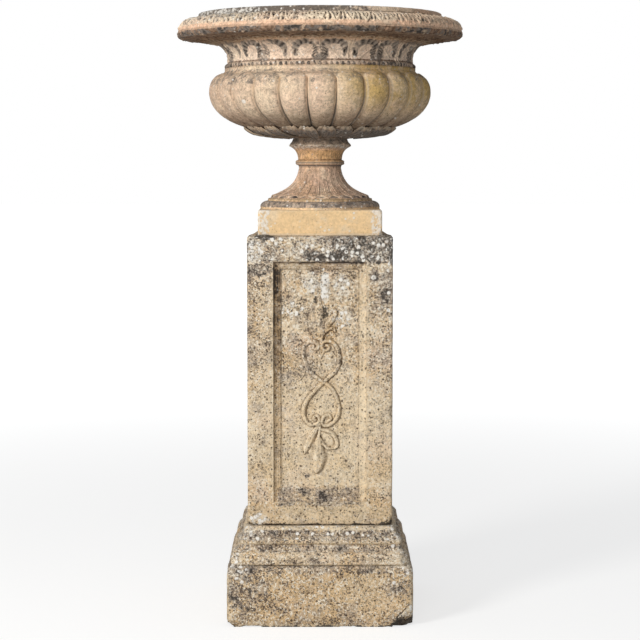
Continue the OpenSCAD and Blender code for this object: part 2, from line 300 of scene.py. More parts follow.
def shadeAndDirtBeside(u, v, strokes, fullHeight=5):
    # painted brown shadow beside the strokes, wide on their right and under them and thin on their left,
    # where a painted highlight lies (below 0); dirt runs down a ribbed stroke's groove; a stroke under its
    # full height has less of it
    dirtAndShade = np.zeros(u.shape)
    pale = np.zeros(u.shape)
    cover = np.zeros(u.shape)
    for points, widths, height, rib in strokes:
        path = throughPoints(points)
        reach = strokeReach(u, v, path, widths)
        slope = strokeReach(u + 1, v - 0.6, path, widths) - strokeReach(u - 1, v + 0.6, path, widths)
        right = 0.5 + 0.5 * np.clip(slope * 1.6, -1, 1)
        shade = min(1, height / fullHeight) * 0.95 * right * ridge(reach, 0.98, 0.34)
        shade += 0.35 * (1 - right) * ridge(reach, 1.12, 0.18)
        dirtAndShade = np.maximum(dirtAndShade, shade + 0.45 * (rib > 0.3) * ridge(reach, 0, 0.2))
        pale = np.maximum(pale, (1 - right) * ridge(reach, 0.72, 0.25))
        cover = np.maximum(cover, np.clip((0.55 - reach) / 0.2, 0, 1) * (rib <= 0.3))
    dirtAndShade *= 1 - cover
    return np.where(dirtAndShade > 0.3, dirtAndShade, dirtAndShade - 0.6 * pale)


def dishRelief(u, v, dishes):
    # dishes are (place, half sizes, lean in degrees, height): hollow inside, with a raised edge;
    # the second result is 1 inside a dish, where dirt gathers
    relief = np.zeros(u.shape)
    inside = np.zeros(u.shape)
    for (atU, atV), (halfU, halfV), lean, height in dishes:
        c, s = math.cos(math.radians(lean)), math.sin(math.radians(lean))
        reach = np.hypot(((u - atU) * c + (v - atV) * s) / halfU, ((v - atV) * c - (u - atU) * s) / halfV)
        edge = np.clip((1.3 - reach) / 0.3, 0, 1)
        relief = np.maximum(relief, height * edge * (0.15 + 0.85 * np.clip(reach, 0, 1) ** 2))
        inside = np.maximum(inside, np.clip((1.0 - reach) / 0.3, 0, 1))
    return relief, inside


def roughness(points, size, seed, depth=3):
    # fractal noise at each point, about -1 to 1
    shift = Vector((seed * 7.3, seed * 3.1, seed * 5.7))
    return np.array([noise.fractal(Vector(p) / size + shift, 0.8, 2.1, depth) for p in points])


def wear(piece, lumps):
    # weathering: each entry is the size of the lumps, their height, and the levels of noise
    for size, height, levels in lumps:
        texture = bpy.data.textures.new(piece.name + "Wear", "CLOUDS")
        texture.noise_scale = size * mm
        texture.noise_depth = levels
        pick(piece)
        ops.object.modifier_add(type="DISPLACE")
        modifier = piece.modifiers[-1]
        modifier.texture = texture
        modifier.texture_coords = "LOCAL"
        modifier.strength = height * mm
        modifier.mid_level = 0.5
        ops.object.modifier_apply(modifier=modifier.name)


def chip(points, at, facing, size, rough=1.0):
    # breaks away what stands out past a plane near a place; its face is left rough
    facing = np.array(facing, float) / np.linalg.norm(facing)
    offset = points - np.array(at, float)
    near = np.linalg.norm(offset, axis=1) < size
    past = offset @ facing
    ragged = np.zeros(len(points))
    ragged[near] = roughness(points[near], 7, size, 3) * rough
    cut = near & (past + ragged > 0)
    points[cut] -= (past + ragged)[cut, None] * facing
    return points


def markHollows(piece):
    # how far each vertex lies below (positive) or above the surface round it, in millimetres
    mesh = piece.data
    count = len(mesh.vertices)
    a, b = readEdges(piece)
    ends = np.concatenate([a, b])
    others = np.concatenate([b, a])
    neighbours = np.maximum(np.bincount(ends, minlength=count), 1)
    points = readPoints(piece)
    normals = np.empty(count * 3)
    mesh.vertices.foreach_get("normal", normals)
    normals = normals.reshape(-1, 3)

    def spread(values):
        return np.stack([np.bincount(ends, values[others, i], count) / neighbours
                         for i in range(values.shape[1])], 1)

    for name, rounds in (("fineHollow", 3), ("wideHollow", 14)):
        soft = points
        for step in range(rounds):
            soft = spread(soft) * 0.5 + soft * 0.5
        depth = ((soft - points) * normals).sum(1)[:, None]
        for step in range(2):
            depth = spread(depth) * 0.5 + depth * 0.5
        attribute = mesh.attributes.new(name, "FLOAT", "POINT")
        attribute.data.foreach_set("value", depth[:, 0].astype(np.float32))


def finishPiece(piece, node, body, material, mark=None):
    # mark says where dirt and painted shade darken the carving, 0 to 1 at each vertex; below 0 it is pale,
    # from wear and painted highlights
    low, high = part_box(node)
    points = np.clip(readPoints(piece), np.array(low) / mm, np.array(high) / mm)
    writePoints(piece, points)
    markHollows(piece)
    marks = np.zeros(len(points)) if mark is None else mark
    attribute = piece.data.attributes.new("mark", "FLOAT", "POINT")
    attribute.data.foreach_set("value", marks.astype(np.float32))
    pick(piece)
    ops.object.shade_smooth_by_angle(angle=math.radians(60))
    piece.data.materials.clear()
    piece.data.materials.append(material)
    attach(piece, body)
    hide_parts(node)
    print(piece.name, "has", sum(len(f.vertices) - 2 for f in piece.data.polygons), "triangles")
    return piece


# Square courses

def squareRing(name, outline, columns):
    # an outline of (half width, height) stands on a corner's diagonal and is spun in four steps;
    # each side is then divided into columns
    piece = drawOutline(name, [(h * mm, h * mm, z * mm) for h, z in outline])
    spinRound(4)
    divideAcross(piece, columns)
    return piece


def spaceColumns(points, columns, places):
    # slides the even columns of each side to chosen places, -1 to 1 across it
    half = np.abs(points[:, :2]).max(1)
    even = np.linspace(-1, 1, columns + 1)
    for side, across in ((0, 1), (1, 0)):
        onSide = np.abs(points[:, side]) >= half - 1e-4
        share = points[onSide, across] / half[onSide]
        points[onSide, across] = np.interp(share, even, places) * half[onSide]
    return points


def roundArris(points, radius, inner):
    # rounds the upright edges of the outer faces
    half = np.abs(points[:, :2]).max(1)
    for side, across in ((0, 1), (1, 0)):
        start = half - radius
        near = ((np.abs(points[:, side]) >= half - 1e-4) & (np.abs(points[:, across]) > start)
                & (half > inner))
        signs = np.sign(points[near][:, [side, across]])
        turn = np.radians(45) * (np.abs(points[near, across]) - start[near]) / radius
        points[near, side] = signs[:, 0] * (start[near] + radius * np.cos(turn))
        points[near, across] = signs[:, 1] * (start[near] + radius * np.sin(turn))
    return points


baseSizes = {
    "half": 203.5, "dieTop": 133, "shoulder": 15, "quirk": 1.4, "wornTop": 7,
    "courseHalf": 194, "courseTop": 177, "upperHalf": 180, "topHalf": 168.5,
    "ledge": 150, "core": 95, "grid": 3.2, "coreGrid": 14, "arris": 11, "cornerWear": 36, "columns": 124,
    # broken corners and edges, as (place, facing, size)
    "breaks": (((198, -190, 16), (1, -0.5, -0.5), 40), ((-196, -200, 9), (-0.72, -0.25, -0.65), 34),
               ((-194, -194, 126), (-1, -1, 0.9), 34), ((192, 192, 10), (1, 1, -0.6), 40),
               ((184, -184, 150), (1, -1, 0.3), 20), ((-176, -176, 178), (-1, -1, 0.6), 20),
               ((-150, -203, 3), (0, -1, -1.6), 22), ((60, -203, 2), (0, -1, -2), 18),
               ((-196, 190, 8), (-1, 1, -0.7), 36)),
}


def baseOutline(s):
    # the die with its round shoulder, a groove, the lower ogee course, a groove, the upper course
    shoulder = s["half"] - s["shoulder"]
    quirkIn = shoulder - s["quirk"]
    lowerFoot = s["dieTop"] + s["quirk"]
    lowerCurve = s["dieTop"] + (s["courseTop"] - s["dieTop"]) * 0.3
    upperIn = s["upperHalf"] - 2 * s["quirk"]
    upperFoot = s["courseTop"] + s["quirk"]
    rise = baseTop - s["courseTop"]
    worn = baseTop - s["wornTop"]
    outer = ([(s["half"], 0)]
             + arc((shoulder, s["dieTop"] - s["shoulder"]), (s["shoulder"],) * 2, 0, 90, 9)
             + [(quirkIn, s["dieTop"]), (quirkIn, lowerFoot), (s["courseHalf"], lowerFoot)]
             + ogee((s["courseHalf"], lowerCurve), (upperIn, s["courseTop"]), 8)
             + [(upperIn, upperFoot), (s["upperHalf"], upperFoot)]
             + ogee((s["upperHalf"], s["courseTop"] + rise * 0.2),
                    (s["topHalf"], s["courseTop"] + rise * 0.7), 5)
             + [(s["topHalf"], worn + 1), (s["topHalf"] - 2, worn + 3),
                (s["topHalf"] - s["wornTop"], baseTop - 0.4), (s["ledge"], baseTop)])
    inner = [(s["ledge"], baseTop), (s["core"], baseTop), (s["core"], 0), (s["half"], 0)]
    return fine(outer, s["grid"]) + fine(inner, s["coreGrid"])[1:-1]


def wearCorners(points, outline, reach, inner):
    # near its corners a moulded course is worn to a soft slope, in which its grooves die out
    line = np.array([p for p in outline if p[0] > inner])
    heights = np.arange(0, baseTop + 1, 1.0)
    order = np.argsort(line[:, 1], kind="stable")
    profile = np.interp(heights, line[order, 1], line[order, 0])
    span = 24
    spread = ridge(np.arange(-span, span + 1), 0, 9)
    soft = np.convolve(np.pad(profile, span, mode="edge"), spread / spread.sum(), mode="valid")
    half = np.abs(points[:, :2]).max(1)
    least = np.abs(points[:, :2]).min(1)
    outer = (half > inner) & (points[:, 2] > 1) & (points[:, 2] < baseTop - 1)
    share = np.clip((least - half + reach) / (reach * 0.6), 0, 1) * outer
    share = share * share * (3 - 2 * share)
    wanted = np.interp(points[:, 2], heights, soft)
    wanted = np.clip(half, wanted - 2, wanted)
    points[:, :2] *= (1 + share * (wanted / np.maximum(half, 1) - 1))[:, None]
    return points


def makeBase(material):
    s = baseSizes
    piece = squareRing("baseBlock", baseOutline(s), s["columns"])
    corner = 1 - 3 * s["arris"] / s["half"]
    places = spacePlaces((-1, -corner, corner, 1), (9, s["columns"] - 15, 9))
    points = spaceColumns(readPoints(piece), s["columns"], places)
    points = wearCorners(points, baseOutline(s), s["cornerWear"], s["topHalf"] - 20)
    points = roundArris(points, s["arris"], s["core"] + 5)
    # the front right corner is broken off low down, with a rough face
    points = chip(points, (183, -198, 15), (0.30, -0.85, -0.44), 72, 6)
    for at, facing, size in s["breaks"]:
        points = chip(points, at, facing, size, 1.6)
    writePoints(piece, points)
    wear(piece, ((70, 3.0, 2), (16, 1.7, 3), (5, 0.9, 2)))
    return finishPiece(piece, "base_block", "base", material)


shaftSizes = {
    "half": 158.5, "core": 95, "arris": 5, "panelHalf": 102, "panelLow": 52.5, "panelHigh": 580,
    "frame": 19, "field": 11, "bead": 2.2, "slab": 3, "plain": 4.2, "moulding": 1.0, "rows": 6,
    "footWear": 4.5, "headRound": 4, "ledge": 137,
    # the broken foot of the front right corner, bites out of the foot and the worn head
    "breaks": (((152, -152, 8), (1, -1, -0.7), 32), ((146, -156, 4), (0.3, -1, -1.4), 26),
               ((-153, -153, 6), (-1, -1, -1.2), 22), ((-20, -156, 2), (0, -1, -1.6), 18),
               ((92, -156, 3), (0, -1, -1.6), 22), ((-104, -156, 2.5), (0, -1, -1.6), 24),
               ((-62, -156, 2), (0, -1, -1.5), 14), ((40, -156, 2.2), (0, -1, -1.5), 20),
               ((153, -153, 632), (1, -1, 1), 20), ((-153, -153, 633), (-1, -1, 1), 16),
               ((-155, -154, 330), (-1, -1, 0), 14), ((155, -155, 250), (1, -1, 0), 16),
               ((154, 154, 10), (1, 1, -0.8), 28), ((-154, 154, 6), (-1, 1, -0.6), 22)),
}


def wearHead(points, s):
    # the ledge outside the plinth is worn to a slope, most of all towards the back
    edge = np.abs(points[:, :2]).max(1)
    drop = 2.5 + 9.5 * np.clip((points[:, 1] + 70) / 200, 0, 1)
    limit = shaftTop - drop * np.clip((edge - s["ledge"]) / (s["half"] - s["ledge"]), 0, 1) ** 1.5
    start = limit - 2
    over = (edge > s["ledge"]) & (points[:, 2] > start)
    share = (points[over, 2] - start[over]) / (shaftTop - start[over])
    points[over, 2] = start[over] + share * 2
    return points


def mouldingDepth(inside, s):
    # depth of the sinking at a distance in from the panel's edge: a quirk, a hollow, a step and a bead
    run = s["frame"] - 2 * s["bead"] - 3
    drop = s["field"] * 0.75
    along = np.clip(inside / run, 0, 1)
    hollow = drop * np.sin(np.arccos(1 - along))
    step = (s["field"] + s["slab"] - drop) * np.clip((inside - run - 3) / 0.8, 0, 1)
    beadAt = (inside - (s["frame"] - s["bead"])) / s["bead"]
    bead = np.sqrt(np.clip(1 - beadAt ** 2, 0, 1)) * (s["bead"] + s["slab"])
    return np.where(inside > 0, hollow + step - bead, 0)


# how much dirt and painted shade lies in the moulding at distances in from the panel's edge, as (distances,
# dirt and shade); below 0 is a painted highlight
mouldingShadesAndDirts = {
    "leftLines": ((0, 0.8, 2, 3.4, 10, 11.2, 12.4, 13.6, 14.8, 16, 17.2, 18.2, 19.5),
                  (0.6, 1, 0.8, 0.05, 0.1, 0.8, 0.15, 0.1, 0.8, 0.6, -0.3, 0.1, 0.8)),
    "leftFill": ((0, 1.5, 4, 7, 9, 11, 13, 14.5, 16, 17.5, 19),
                 (0.9, 1, 0.8, 0.6, 0.8, 0.9, 0.4, 0.8, 0.7, 0.1, 0.3)),
    "top": ((0, 1.2, 3, 5, 8, 10, 12, 14, 15.5, 17, 19),
            (0.8, 1.2, 0.9, 0.5, 0.4, 0.55, 0.85, 0.2, 1.15, 0.4, 0.7)),
    "right": ((0, 1.5, 3.5, 8, 11, 13, 14.5, 16, 17.5, 19),
              (0.1, 0.3, -0.2, -0.5, 0.1, -0.5, -0.4, 0.4, 0.1, 0.4)),
}


def mouldingShadeAndDirt(inside, across, up, s):
    # dirt lies in the corners of the moulding; painted shade with dirt fills it down the left side, which
    # faces away from the light, and a painted highlight (below 0) lies on the right slope; past 1 it is black
    shadesAndDirts = {name: np.interp(inside, *line) for name, line in mouldingShadesAndDirts.items()}
    onFrame = inside < s["frame"] + 1
    onLeft = (np.abs(inside - s["panelHalf"] - across) < 0.01) & onFrame
    onRight = (np.abs(inside - s["panelHalf"] + across) < 0.01) & onFrame
    onTop = (np.abs(s["panelHigh"] - up - inside) < 0.01) & onFrame
    high = np.clip((up - 250) / 270, 0, 1)
    left = 0.66 * shadesAndDirts["leftLines"] + shadesAndDirts["leftFill"] * (0.18 + 1.25 * high ** 1.3)
    corners = ridge(inside, 2, 1.6) + ridge(inside, s["frame"] - 2 * s["bead"] - 1.5, 1.7)
    rest = np.where(onRight, shadesAndDirts["right"], 0.34 * corners * (inside < s["frame"] + 3))
    return np.where(onLeft, left, np.where(onTop, shadesAndDirts["top"], rest)) * (inside > 0)


def shaftOutline(s, height):
    # the panel's moulding has fine rows, and what is plain has coarse ones
    lowIn, highIn = s["panelLow"] + s["frame"], s["panelHigh"] - s["frame"]
    head = height - s["headRound"]
    stops = (s["footWear"], s["panelLow"], lowIn, highIn, s["panelHigh"], head)
    steps = (s["plain"], s["moulding"], s["rows"], s["moulding"], s["plain"])
    side = fine([(s["half"] - s["footWear"], 0.0), (s["half"], s["footWear"])], 2.2)
    for low, high, step in zip(stops, stops[1:], steps):
        side += fine([(s["half"], low), (s["half"], high)], step)[1:]
    top = arc((s["half"] - s["headRound"], head), (s["headRound"],) * 2, 0, 90, 3)[1:]
    core = [(s["core"], height), (s["core"], 0), (s["half"] - s["footWear"], 0.0)]
    return side + top + fine([top[-1], core[0]], 8)[1:] + fine(core, 14)[1:-1]


def makeShaft(material):
    s = shaftSizes
    floor = baseTop
    corner = 1 - s["headRound"] / s["half"]
    edge = s["panelHalf"] / s["half"]
    inner = (s["panelHalf"] - s["frame"]) / s["half"]
    places = spacePlaces((-1, -corner, -edge, -inner, inner, edge, corner, 1), (4, 13, 20, 27, 20, 13, 4))
    columns = len(places) - 1
    outline = [(half, z + floor) for half, z in shaftOutline(s, shaftTop - floor)]
    piece = squareRing("pillarShaft", outline, columns)
    points = spaceColumns(readPoints(piece), columns, places)
    half = np.abs(points[:, :2]).max(1)
    mark = np.zeros(len(points))
    for axis, sign, rightward in ((1, -1, 1), (0, 1, 1), (1, 1, -1), (0, -1, -1)):
        face = np.abs(points[:, axis] - sign * s["half"]) < 0.01
        across = points[:, 1 - axis] * rightward
        up = points[:, 2] - floor
        inside = np.minimum(up - s["panelLow"], s["panelHigh"] - up)
        inside = np.minimum(s["panelHalf"] - np.abs(across), inside)
        sunk = face & (inside > 0)
        mark[sunk] = mouldingShadeAndDirt(inside[sunk], across[sunk], up[sunk], s)
        mark[sunk] *= np.clip(1 + 0.9 * roughness(points[sunk], 10, 31, 3), 0.2, 1.7)
        points[sunk, axis] -= sign * mouldingDepth(inside[sunk], s)
    plain = half > s["half"] - 3
    kept = points[~plain].copy()
    points = roundArris(points, s["arris"], s["half"] - 3)
    points[~plain] = kept
    for (x, y, z), facing, size in s["breaks"]:
        points = chip(points, (x, y, z + floor), facing, size, 1.4)
    points = wearHead(points, s)
    writePoints(piece, points)
    wear(piece, ((60, 1.6, 2), (12, 1.2, 3), (4, 0.8, 2)))
    return finishPiece(piece, "shaft", "shaft_course", material, mark)


# The scroll: strokes of (points, widths, height, rib), in millimetres from the crossing of its strands
scrollStrokes = (
    (((8, 0), (-6, 9), (-20, 22), (-31, 41), (-36, 59), (-35, 75), (-28, 86), (-18, 89), (-8, 87), (-3, 80),
      (-7, 73), (-14, 74), (-14, 80)), (8, 9, 9, 9, 8, 6), 5.6, 0),
    (((8, 0), (21, 12), (31, 21), (39, 33), (42.5, 49), (41, 65), (36, 78), (28, 87), (19, 90), (8, 88),
      (3, 79), (8, 71), (17, 71), (20, 78), (14, 81)), (8, 8, 9, 8, 7, 7, 7), 5.2, 0),
    (((10, 69), (5, 60), (3, 54)), (6, 4, 2), 2.6, 0),
    (((3, 86), (3, 98), (5, 110)), (8, 9, 8), 4.6, 0),
    (((2, 92), (9, 108), (20, 117), (29, 118), (33, 112)), (6, 8, 8, 6), 5.6, 0),
    (((5, 104), (15, 123), (26, 137), (34, 149), (35, 158)), (7, 12, 13, 9, 4), 6.0, 0.5),
    (((2, 104), (0, 130), (-1, 160), (-1, 188)), (10, 17, 19, 13, 3), 3.0, 0.2),
    (((-2, 96), (-13, 113), (-24, 127), (-33, 141), (-35, 150)), (8, 15, 17, 12, 4), 3.2, 0.2),
    (((-1, 104), (-10, 124), (-14, 140), (-16, 154)), (6, 10, 10, 4), 2.6, 0.2),
    (((8, 0), (-3, -11), (-15, -23), (-27, -38), (-34, -53), (-36, -68), (-32, -83), (-22, -93), (-11, -94),
      (-3, -88), (-2, -79), (-9, -74), (-14, -80), (-10, -84)), (8, 9, 10, 9, 8, 7, 6), 5.6, 0),
    (((8, 0), (19, -7), (28, -16), (35, -29), (40, -45), (42, -60), (39, -75), (31, -87), (19, -95), (7, -94),
      (5, -84), (11, -74), (20, -73), (24, -80), (19, -85)), (8, 8, 8, 9, 8, 8, 7, 6), 5.4, 0),
    (((0, -86), (-1, -104), (-1, -118)), (6, 7, 7), 4.6, 0),
    (((-3, -94), (-13, -112), (-22, -128), (-30, -146), (-34, -158)), (6, 12, 15, 12, 3), 5.2, 0.6),
    (((1, -104), (14, -107), (26, -113), (35, -125), (38, -140), (32, -146)), (6, 9, 10, 9, 7, 5), 5.2, 0),
    (((1, -124), (8, -138), (18, -146), (28, -146)), (5, 7, 7, 4), 4.6, 0),
    (((5, -112), (16, -122), (25, -134)), (10, 18, 12), 2.6, 0),
    (((-2, -116), (-3, -138), (-2, -166), (-5, -186), (-8, -200)), (6, 16, 30, 22, 3), 6.4, 0.4),
    (((-33, 20), (-40, 10), (-47, 3)), (5, 4, 3), 2.4, 0),
    (((49, 15), (57, 10), (59, 4), (51, -3)), (3, 4, 4, 3), 2.4, 0),
    (((-62, -119), (-52, -116), (-41, -120), (-28, -112)), (2, 3.4, 3.4, 2), 1.8, 0),
)

panelSizes = {
    "half": 83.4, "low": 71, "high": 561.5, "back": 2.6, "across": 150, "up": 440, "crossing": 316,
    "bolder": 1.02, "wider": 1.06,
}


def makePanels(material):
    # a carved field is modelled once and copied round the shaft, each with weathering of its own
    s = panelSizes
    face = shaftSizes["half"] - shaftSizes["field"]
    deselectAll()
    ops.mesh.primitive_grid_add(x_subdivisions=s["across"], y_subdivisions=s["up"], size=2)
    first = bpy.context.object
    grid = readPoints(first) * mm
    u = grid[:, 0] * s["half"]
    v = s["low"] + (grid[:, 1] + 1) / 2 * (s["high"] - s["low"])
    strokes = [(path, tuple(w * s["wider"] for w in widths), height * s["bolder"], rib)
               for path, widths, height, rib in scrollStrokes]
    ragged = 0.8 * roughness(np.stack([u, v, 0 * u], 1), 9, 3, 3)
    across = u + ragged
    up = v - s["crossing"] + 0.7 * ragged
    relief = strokeRelief(across, up, strokes)
    worn = roughness(np.stack([u, v, 0 * u], 1), 22, 2, 3)
    mark = shadeAndDirtBeside(across, up, strokes) * np.clip(0.75 + 0.6 * worn, 0.2, 1)
    relief = np.where(relief > 0, relief * np.clip(0.9 + 0.35 * worn, 0.5, 1.1), relief)
    pieces = [first] + [copyPiece(first) for i in range(3)]
    for turn, (piece, side) in enumerate(zip(pieces, ("Front", "Right", "Back", "Left"))):
        piece.name = "scroll" + side
        ground = roughness(np.stack([u, v, 0 * u + 90 * turn], 1), 34, turn + 4, 4) * 0.55
        pits = roughness(np.stack([u, v, 0 * u + 50 * turn], 1), 5.5, turn + 9, 2)
        out = face + relief + ground - 1.5 * np.clip(pits - 0.45, 0, 1) + 0.35 * pits
        spin = math.radians(90 * turn)
        writePoints(piece, turnAbout(np.stack([u, -out, v + baseTop], 1), spin))
        pick(piece)
        ops.object.mode_set(mode="EDIT")
        ops.mesh.select_all(action="DESELECT")
        ops.mesh.select_non_manifold()
        inward = Vector((-math.sin(spin), math.cos(spin), 0)) * s["back"] * mm
        ops.mesh.extrude_edges_move(TRANSFORM_OT_translate={"value": inward})
        ops.mesh.edge_face_add()
        faceOutward()
        lined = np.zeros(len(piece.data.vertices))
        lined[:len(mark)] = mark
        finishPiece(piece, "shaft", "shaft_course", material, lined)
    return pieces


# The urn's foot

plinthSizes = {
    "half": 135.5, "hollow": 108.5, "roof": 35, "opening": 99, "arris": 4, "grid": 2.4, "columns": 84,
    "breaks": (((-122, -135, 1.5), (0, -1, -1.4), 11), ((133, -133, 8), (1, -1, -0.4), 14),
               ((-133, -133, 49), (-1, -1, 0.8), 14), ((133, -133, 52), (1, -1, 1), 12),
               ((60, -135, 54), (0, -1, 1.6), 10), ((-40, -135, 54.4), (0, -1, 1.6), 12)),
}


def makePlinth(material):
    s = plinthSizes
    low = shaftTop
    tall = urnSeat - stemSizes["height"] - low
    topIn = s["half"] - s["arris"]
    outline = (fine([(s["half"], 0), (s["half"], tall - s["arris"])], s["grid"])
               + arc((topIn, tall - s["arris"]), (s["arris"],) * 2, 0, 90, 4)[1:]
               + fine([(topIn, tall), (s["opening"], tall)], 4)[1:]
               + fine([(s["opening"], tall), (s["opening"], s["roof"]), (s["hollow"], s["roof"]),
                       (s["hollow"], 0), (s["half"], 0)], 9)[1:-1])
    piece = squareRing("footPlinth", [(half, z + low) for half, z in outline], s["columns"])
    corner = 1 - 2.5 * s["arris"] / s["half"]
    places = spacePlaces((-1, -corner, corner, 1), (6, s["columns"] - 9, 6))
    points = spaceColumns(readPoints(piece), s["columns"], places)
    points = roundArris(points, s["arris"], s["hollow"] + 5)
    for (x, y, z), facing, size in s["breaks"]:
        points = chip(points, (x, y, z + low), facing, size, 0.9)
    writePoints(piece, points)
    wear(piece, ((45, 1.0, 2), (9, 0.8, 3), (3, 0.4, 2)))
    return finishPiece(piece, "urn_foot", "foot_course", material)


stemSizes = {
    "height": 156, "torus": 134, "torusTall": 17, "stem": 47, "ring": 102.024, "collarAt": 138.06,
    "collar": 69.5, "seat": 60, "socket": 38, "socketDeep": 25, "bore": 25, "leaves": 22, "leafLong": 92,
    "grid": 2.0, "sectors": 44, "columns": 10,
}


def stemOutline(s):
    # the torus and fillets, the flare, the ring, the cove and the collar, then the socket and bore
    h = s["height"]
    fillet = s["torus"] - s["torusTall"]
    leafEnd = fillet - 6
    cove = s["ring"] + 7
    collar = s["collarAt"]
    socketFloor = h - s["socketDeep"]
    foot = arc((fillet, s["torusTall"] * 0.2), (s["torusTall"], s["torusTall"] * 0.8), -14, 90, 12)
    start = foot[0]
    foot += [(fillet - 1, 22), (leafEnd, 23), (leafEnd - 1, 26)]
    flare = cubic((leafEnd - 4, 29), (leafEnd * 0.65, 41), (s["stem"] + 3, 56), (s["stem"], h * 0.58), 30)
    upper = ([(s["stem"] + 1, s["ring"] - 7), (s["stem"] + 2.5, s["ring"] - 5.5)]
             + arc((s["stem"] + 2.5, s["ring"]), (5.5, 5.5), -90, 90, 10)
             + cubic((s["stem"] + 1.8, cove), (s["stem"] + 2.5, cove + 13), (s["stem"] + 8, collar - 6),
                     (s["collar"] - 3, collar - 1), 20)
             + [(s["collar"], collar), (s["collar"], collar + 4)]
             + cubic((s["collar"] - 1.5, collar + 5), (s["collar"] - 5, collar + 9), (s["seat"] + 2, h - 8),
                     (s["seat"], h), 10))
    inner = ([(s["seat"], h), (s["socket"], h), (s["socket"], socketFloor), (s["bore"], socketFloor),
              (s["bore"], 80)]
             + cubic((s["bore"], 80), (s["bore"], 12), (90, 10), (97.8, -19), 10)[1:]
             + [(98.6, -19.5), (98.6, 0), start])
    return fine(foot + flare + upper, s["grid"]) + fine(inner, 12)[1:-1], len(fine(foot, s["grid"]))


def makeStem(material):
    s = stemSizes
    floor = urnSeat - s["height"]
    outline, flareStart = stemOutline(s)
    piece = turnPiece("footStem", outline, floor, s["sectors"], s["columns"])
    shape = Turned(piece, outline, floor)
    # long leaves hang down the flare, each with a double outline, and end in points
    step = 360 / s["leaves"]
    down = shape.along - shape.lengths[flareStart]
    unit = (shape.turn / step - np.floor(shape.turn / step) - 0.5) * step
    sideways = np.radians(unit) * shape.radius
    halfUnit = np.radians(step / 2) * shape.radius
    onFlare = (down > -2) & (down < s["leafLong"]) & (shape.radius > 40) & (shape.height > 20)
    halfLeaf = halfUnit * np.clip((down + 1) / 15, 0, 1) ** 0.6
    edge = halfLeaf - np.abs(sideways)
    relief = 1.5 * np.clip(edge / 1.4, 0, 1) - 0.9 * ridge(edge, halfUnit * 0.34, 0.75)
    relief += 0.7 * ridge(sideways, 0, 1.4) - 1.5
    relief *= np.clip((s["leafLong"] - down) / 20, 0, 1) * onFlare
    tips = ridge(edge, 0.8, 1.1) * np.clip((16 - down) / 8, 0, 1)
    between = np.clip((0.2 - edge) / 0.8, 0, 1) * np.clip((10 - down) / 5, 0, 1)
    lines = 0.4 * ridge(edge, 0, 0.9) * np.clip((down - 8) / 20, 0, 1) * np.clip((80 - down) / 30, 0, 1)
    points = readPoints(piece)
    odd = np.clip(0.6 + 0.9 * roughness(points, 24, 19, 2), 0, 1)
    mark = (0.9 * odd * between * (tips < 0.3) + 0.5 * lines - tips * np.clip(1.3 - odd, 0.3, 1)) * onFlare
    # fine veins run up the leaves to the ring, which has a groove round its middle
    veins = np.cos(sideways / halfUnit * math.pi * 5.5)
    climb = onFlare * np.clip((down - 6) / 20, 0, 1)
    relief += 0.4 * veins * climb
    mark += 0.26 * np.clip(veins * -1, 0, 1) * climb * (0.3 + 1.0 * odd)
    outer = shape.radius > s["stem"] - 2
    groove = ridge(shape.height, s["ring"], 0.9) * outer
    foot = ridge(shape.height, s["ring"] - 6.8, 1.2) * outer * (shape.radius < s["stem"] + 12)
    mark += 0.5 * groove + 0.8 * foot
    relief -= 1.3 * groove
    # the collar's lip is broken all round
    lip = ridge(shape.height, s["collarAt"] + 2, 5) * (shape.radius > s["collar"] - 8)
    relief -= lip * 4.5 * np.clip(roughness(points, 15, 33, 3) + 0.1, 0, 1)
    relief += 1.2 * roughness(points, 9, 34, 3) * (shape.height > s["collarAt"]) * outer
    shape.carve(relief + 0.22 * roughness(points, 6, 12, 2))
    wear(piece, ((30, 0.8, 2), (7, 0.5, 2)))
    return finishPiece(piece, "urn_foot", "foot_course", material, mark)


# The urn's bowl

bowlSizes = {
    "height": 274, "belly": 247.5, "bellyHigh": 103, "neck": 204, "rim": 316.5, "lip": 270, "mouth": 240,
    "inside": 213.5, "gadroons": 24, "columns": 15, "joint": 11.5, "firstLobe": 1.1,
    "spigot": 36, "spigotLong": 22, "drain": 14,
}


def bellyOutline(s):
    z = s["bellyHigh"]
    spigotEnd = -s["spigotLong"]
    under = fine([(s["drain"], spigotEnd), (s["spigot"], spigotEnd), (s["spigot"], 0), (60, 0.4), (74, 3.4),
                  (120, 8.4), (146, 14)], 12)
    low = cubic((146, 19), (185, 27), (s["belly"], z - 53), (s["belly"], z), 50)
    bandFoot = (s["neck"] + 8, z + 44)
    high = cubic((s["belly"], z), (s["belly"], z + 25), (s["belly"] - 15, z + 38), bandFoot, 30)
    shoulder = fine([bandFoot, (s["neck"] + 8.3, z + 50), (s["neck"] + 6, z + 52),
                     (s["neck"] + 1, z + 53.5)], 1.6)
    inside = ([shoulder[-1], (176, z + 55)]
              + cubic((175, 162), (196, 150), (s["inside"], 128), (s["inside"], z), 6)
              + cubic((s["inside"], z), (s["inside"], 68), (175, 46), (120, 40), 7)[1:]
              + [(18, 36), (s["drain"], 34), (s["drain"], spigotEnd)])
    start = len(under)
    outline = under + low + high[1:] + shoulder[1:] + fine(inside, 20)[1:-1]
    return outline, start, start + len(low) + len(high) - 1


